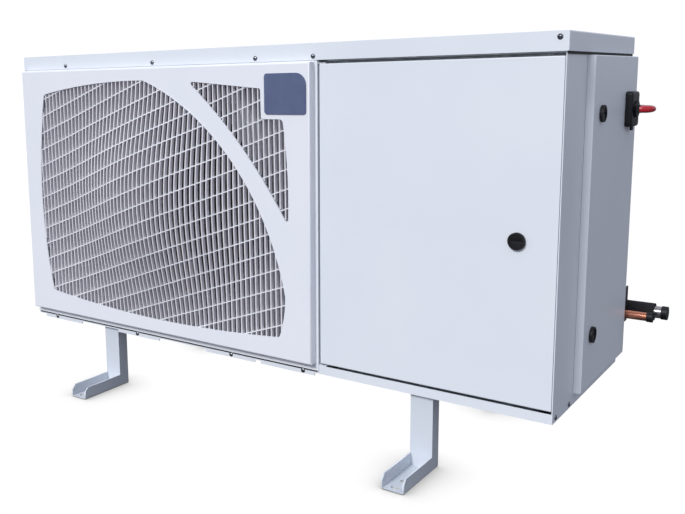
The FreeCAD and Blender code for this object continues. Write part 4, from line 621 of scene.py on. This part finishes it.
def screw_head(centre, outward):
    """A dome over a disc with a cross sunk in it.

    Height falls with the square of the distance from the middle, and drops by the recess depth
    wherever the point lies inside either bar of the cross.
    """
    reach, angle = np.meshgrid(np.linspace(0, 1, HEAD_RINGS),
                               np.linspace(0, 2 * np.pi, HEAD_ROUND, endpoint=False), indexing="ij")
    flat_u, flat_v = reach * HEAD_RADIUS * np.cos(angle), reach * HEAD_RADIUS * np.sin(angle)
    height = HEAD_RISE * (1 - HEAD_FALL * reach ** 2)
    narrow = np.minimum(np.abs(flat_u), np.abs(flat_v))
    wide = np.maximum(np.abs(flat_u), np.abs(flat_v))
    height = np.where((narrow < ARM_WIDTH / 2) & (wide < ARM_LENGTH / 2), height - RECESS, height)
    height[-1] = 0
    out = np.array(outward, dtype=float)
    up = np.array([0.0, 0.0, 1.0])
    side = np.cross(up, out)
    places = (np.array(centre) + flat_u[..., None] * side + flat_v[..., None] * up
              + height[..., None] * out)
    return places.reshape(-1, 3), ring_faces(HEAD_RINGS, HEAD_ROUND, turned=True)


# Each packed group of screws is parted where the places along the row lie far apart, and a head
# goes on the sheet's face at the middle of each screw.
for node, outward in (("lid_screws", (0, -1, 0)), ("tab_screws", (0, -1, 0)),
                      ("side_screws", (1, 0, 0))):
    spots = places_of(frame["nodes"][node].data)
    axis = 1 if outward[1] else 0
    row = 1 - axis
    order = np.unique(np.round(spots[:, row], 4))
    heads = []
    for group in np.split(order, np.flatnonzero(np.diff(order) > SCREW_APART) + 1):
        mine = spots[(spots[:, row] >= group[0] - ROUNDED) & (spots[:, row] <= group[-1] + ROUNDED)]
        centre = (mine.min(axis=0) + mine.max(axis=0)) / 2
        centre[axis] = (mine[:, axis].min() + PACKED_HEAD if outward[axis] < 0
                        else mine[:, axis].max() - PACKED_HEAD)
        heads.append(screw_head(centre, outward))
    mesh_piece(node + "_heads", *joined(heads), weathered_zinc, "cabinet", "bright_steel", (node,),
               smooth=True)


# Studio: a plain pale floor, soft light from the front and above, and a camera at the
# photograph's height and angle. Floor and backdrop look white, and light the object less than
# they look. Near the object the floor's white falls off, as the shade under its feet.
WHITE, SHADE_REACH, FLOOR_SIZE = 1.02, 0.09, 400
floor_paint, tree, shader = new_finish("floor_paint", 0.9)
mottle(tree, shader, grain(tree, 900, 2), ("#5E5F62", "#626366"))
near = add_node(tree, "ShaderNodeAmbientOcclusion", inputs={"Distance": SHADE_REACH})
glow = add_node(tree, "ShaderNodeEmission", inputs={
    "Color": near.outputs["Color"], "Strength": WHITE})
sight = add_node(tree, "ShaderNodeLightPath")
seen = add_node(tree, "ShaderNodeMixShader", inputs={0: sight.outputs["Is Camera Ray"]})
tree.links.new(shader.outputs["BSDF"], seen.inputs[1])
tree.links.new(glow.outputs["Emission"], seen.inputs[2])
tree.links.new(seen.outputs["Shader"], tree.nodes["Material Output"].inputs["Surface"])
bpy.ops.mesh.primitive_plane_add(size=FLOOR_SIZE, location=(0, 0, 0))
floor = bpy.context.object
floor.name = "studio_floor"
floor.data.materials.append(floor_paint)

world = bpy.data.worlds.new("studio_air")
bpy.context.scene.world = world
world.use_nodes = True
air = world.node_tree
air.nodes.clear()
fill = add_node(air, "ShaderNodeBackground", inputs={"Color": linear("#E5EAF9"), "Strength": 0.77})
backdrop = add_node(air, "ShaderNodeBackground", inputs={
    "Color": linear("#FFFFFF"), "Strength": WHITE})
sight = add_node(air, "ShaderNodeLightPath")
chosen = add_node(air, "ShaderNodeMixShader", inputs={0: sight.outputs["Is Camera Ray"]})
air.links.new(fill.outputs[0], chosen.inputs[1])
air.links.new(backdrop.outputs[0], chosen.inputs[2])
add_node(air, "ShaderNodeOutputWorld", inputs={"Surface": chosen.outputs[0]})
bpy.context.scene.view_settings.view_transform = "Standard"

key = bpy.data.lights.new("key_light", "SUN")
key.energy = 2.25
key.angle = math.radians(14)
key.color = linear("#FFFFFF")[:3]
key_holder = bpy.data.objects.new("key_light", key)
key_holder.rotation_euler = Vector((0.08, 0.81, -0.58)).to_track_quat("-Z", "Y").to_euler()
bpy.context.scene.collection.objects.link(key_holder)

# The camera's place, angles and focal length come from fitting the cabinet's edges. The photo is
# a crop, so the middle of its view isn't the middle of the picture.
PHOTO_WIDTH, PHOTO_HEIGHT, FOCAL_PX, MIDDLE_X, MIDDLE_Y = 685, 514, 861.3, 233.55, 221.43
CAMERA_PLACE, CAMERA_ANGLES = (0.9771, -1.46845, 0.6639), (9.229, 37.7256, -1.1601)
lens = bpy.data.cameras.new("photo_camera")
camera = bpy.data.objects.new("photo_camera", lens)
bpy.context.scene.collection.objects.link(camera)
bpy.context.scene.camera = camera
pitch, yaw, roll = (math.radians(degrees) for degrees in CAMERA_ANGLES)
ahead = Vector((-math.sin(yaw) * math.cos(pitch), math.cos(yaw) * math.cos(pitch), -math.sin(pitch)))
right = Vector((math.cos(yaw), math.sin(yaw), 0))
above = right.cross(ahead)
turned_right = math.cos(roll) * right + math.sin(roll) * above
turned_up = math.cos(roll) * above - math.sin(roll) * right
turn = Matrix((turned_right, turned_up, -ahead)).transposed()
camera.matrix_world = Matrix.Translation(CAMERA_PLACE) @ turn.to_4x4()
lens.sensor_width = 36
lens.lens = FOCAL_PX / PHOTO_WIDTH * lens.sensor_width
lens.shift_x = (PHOTO_WIDTH / 2 - MIDDLE_X) / PHOTO_WIDTH
lens.shift_y = -(PHOTO_HEIGHT / 2 - MIDDLE_Y) / PHOTO_WIDTH
lens.clip_end = 50
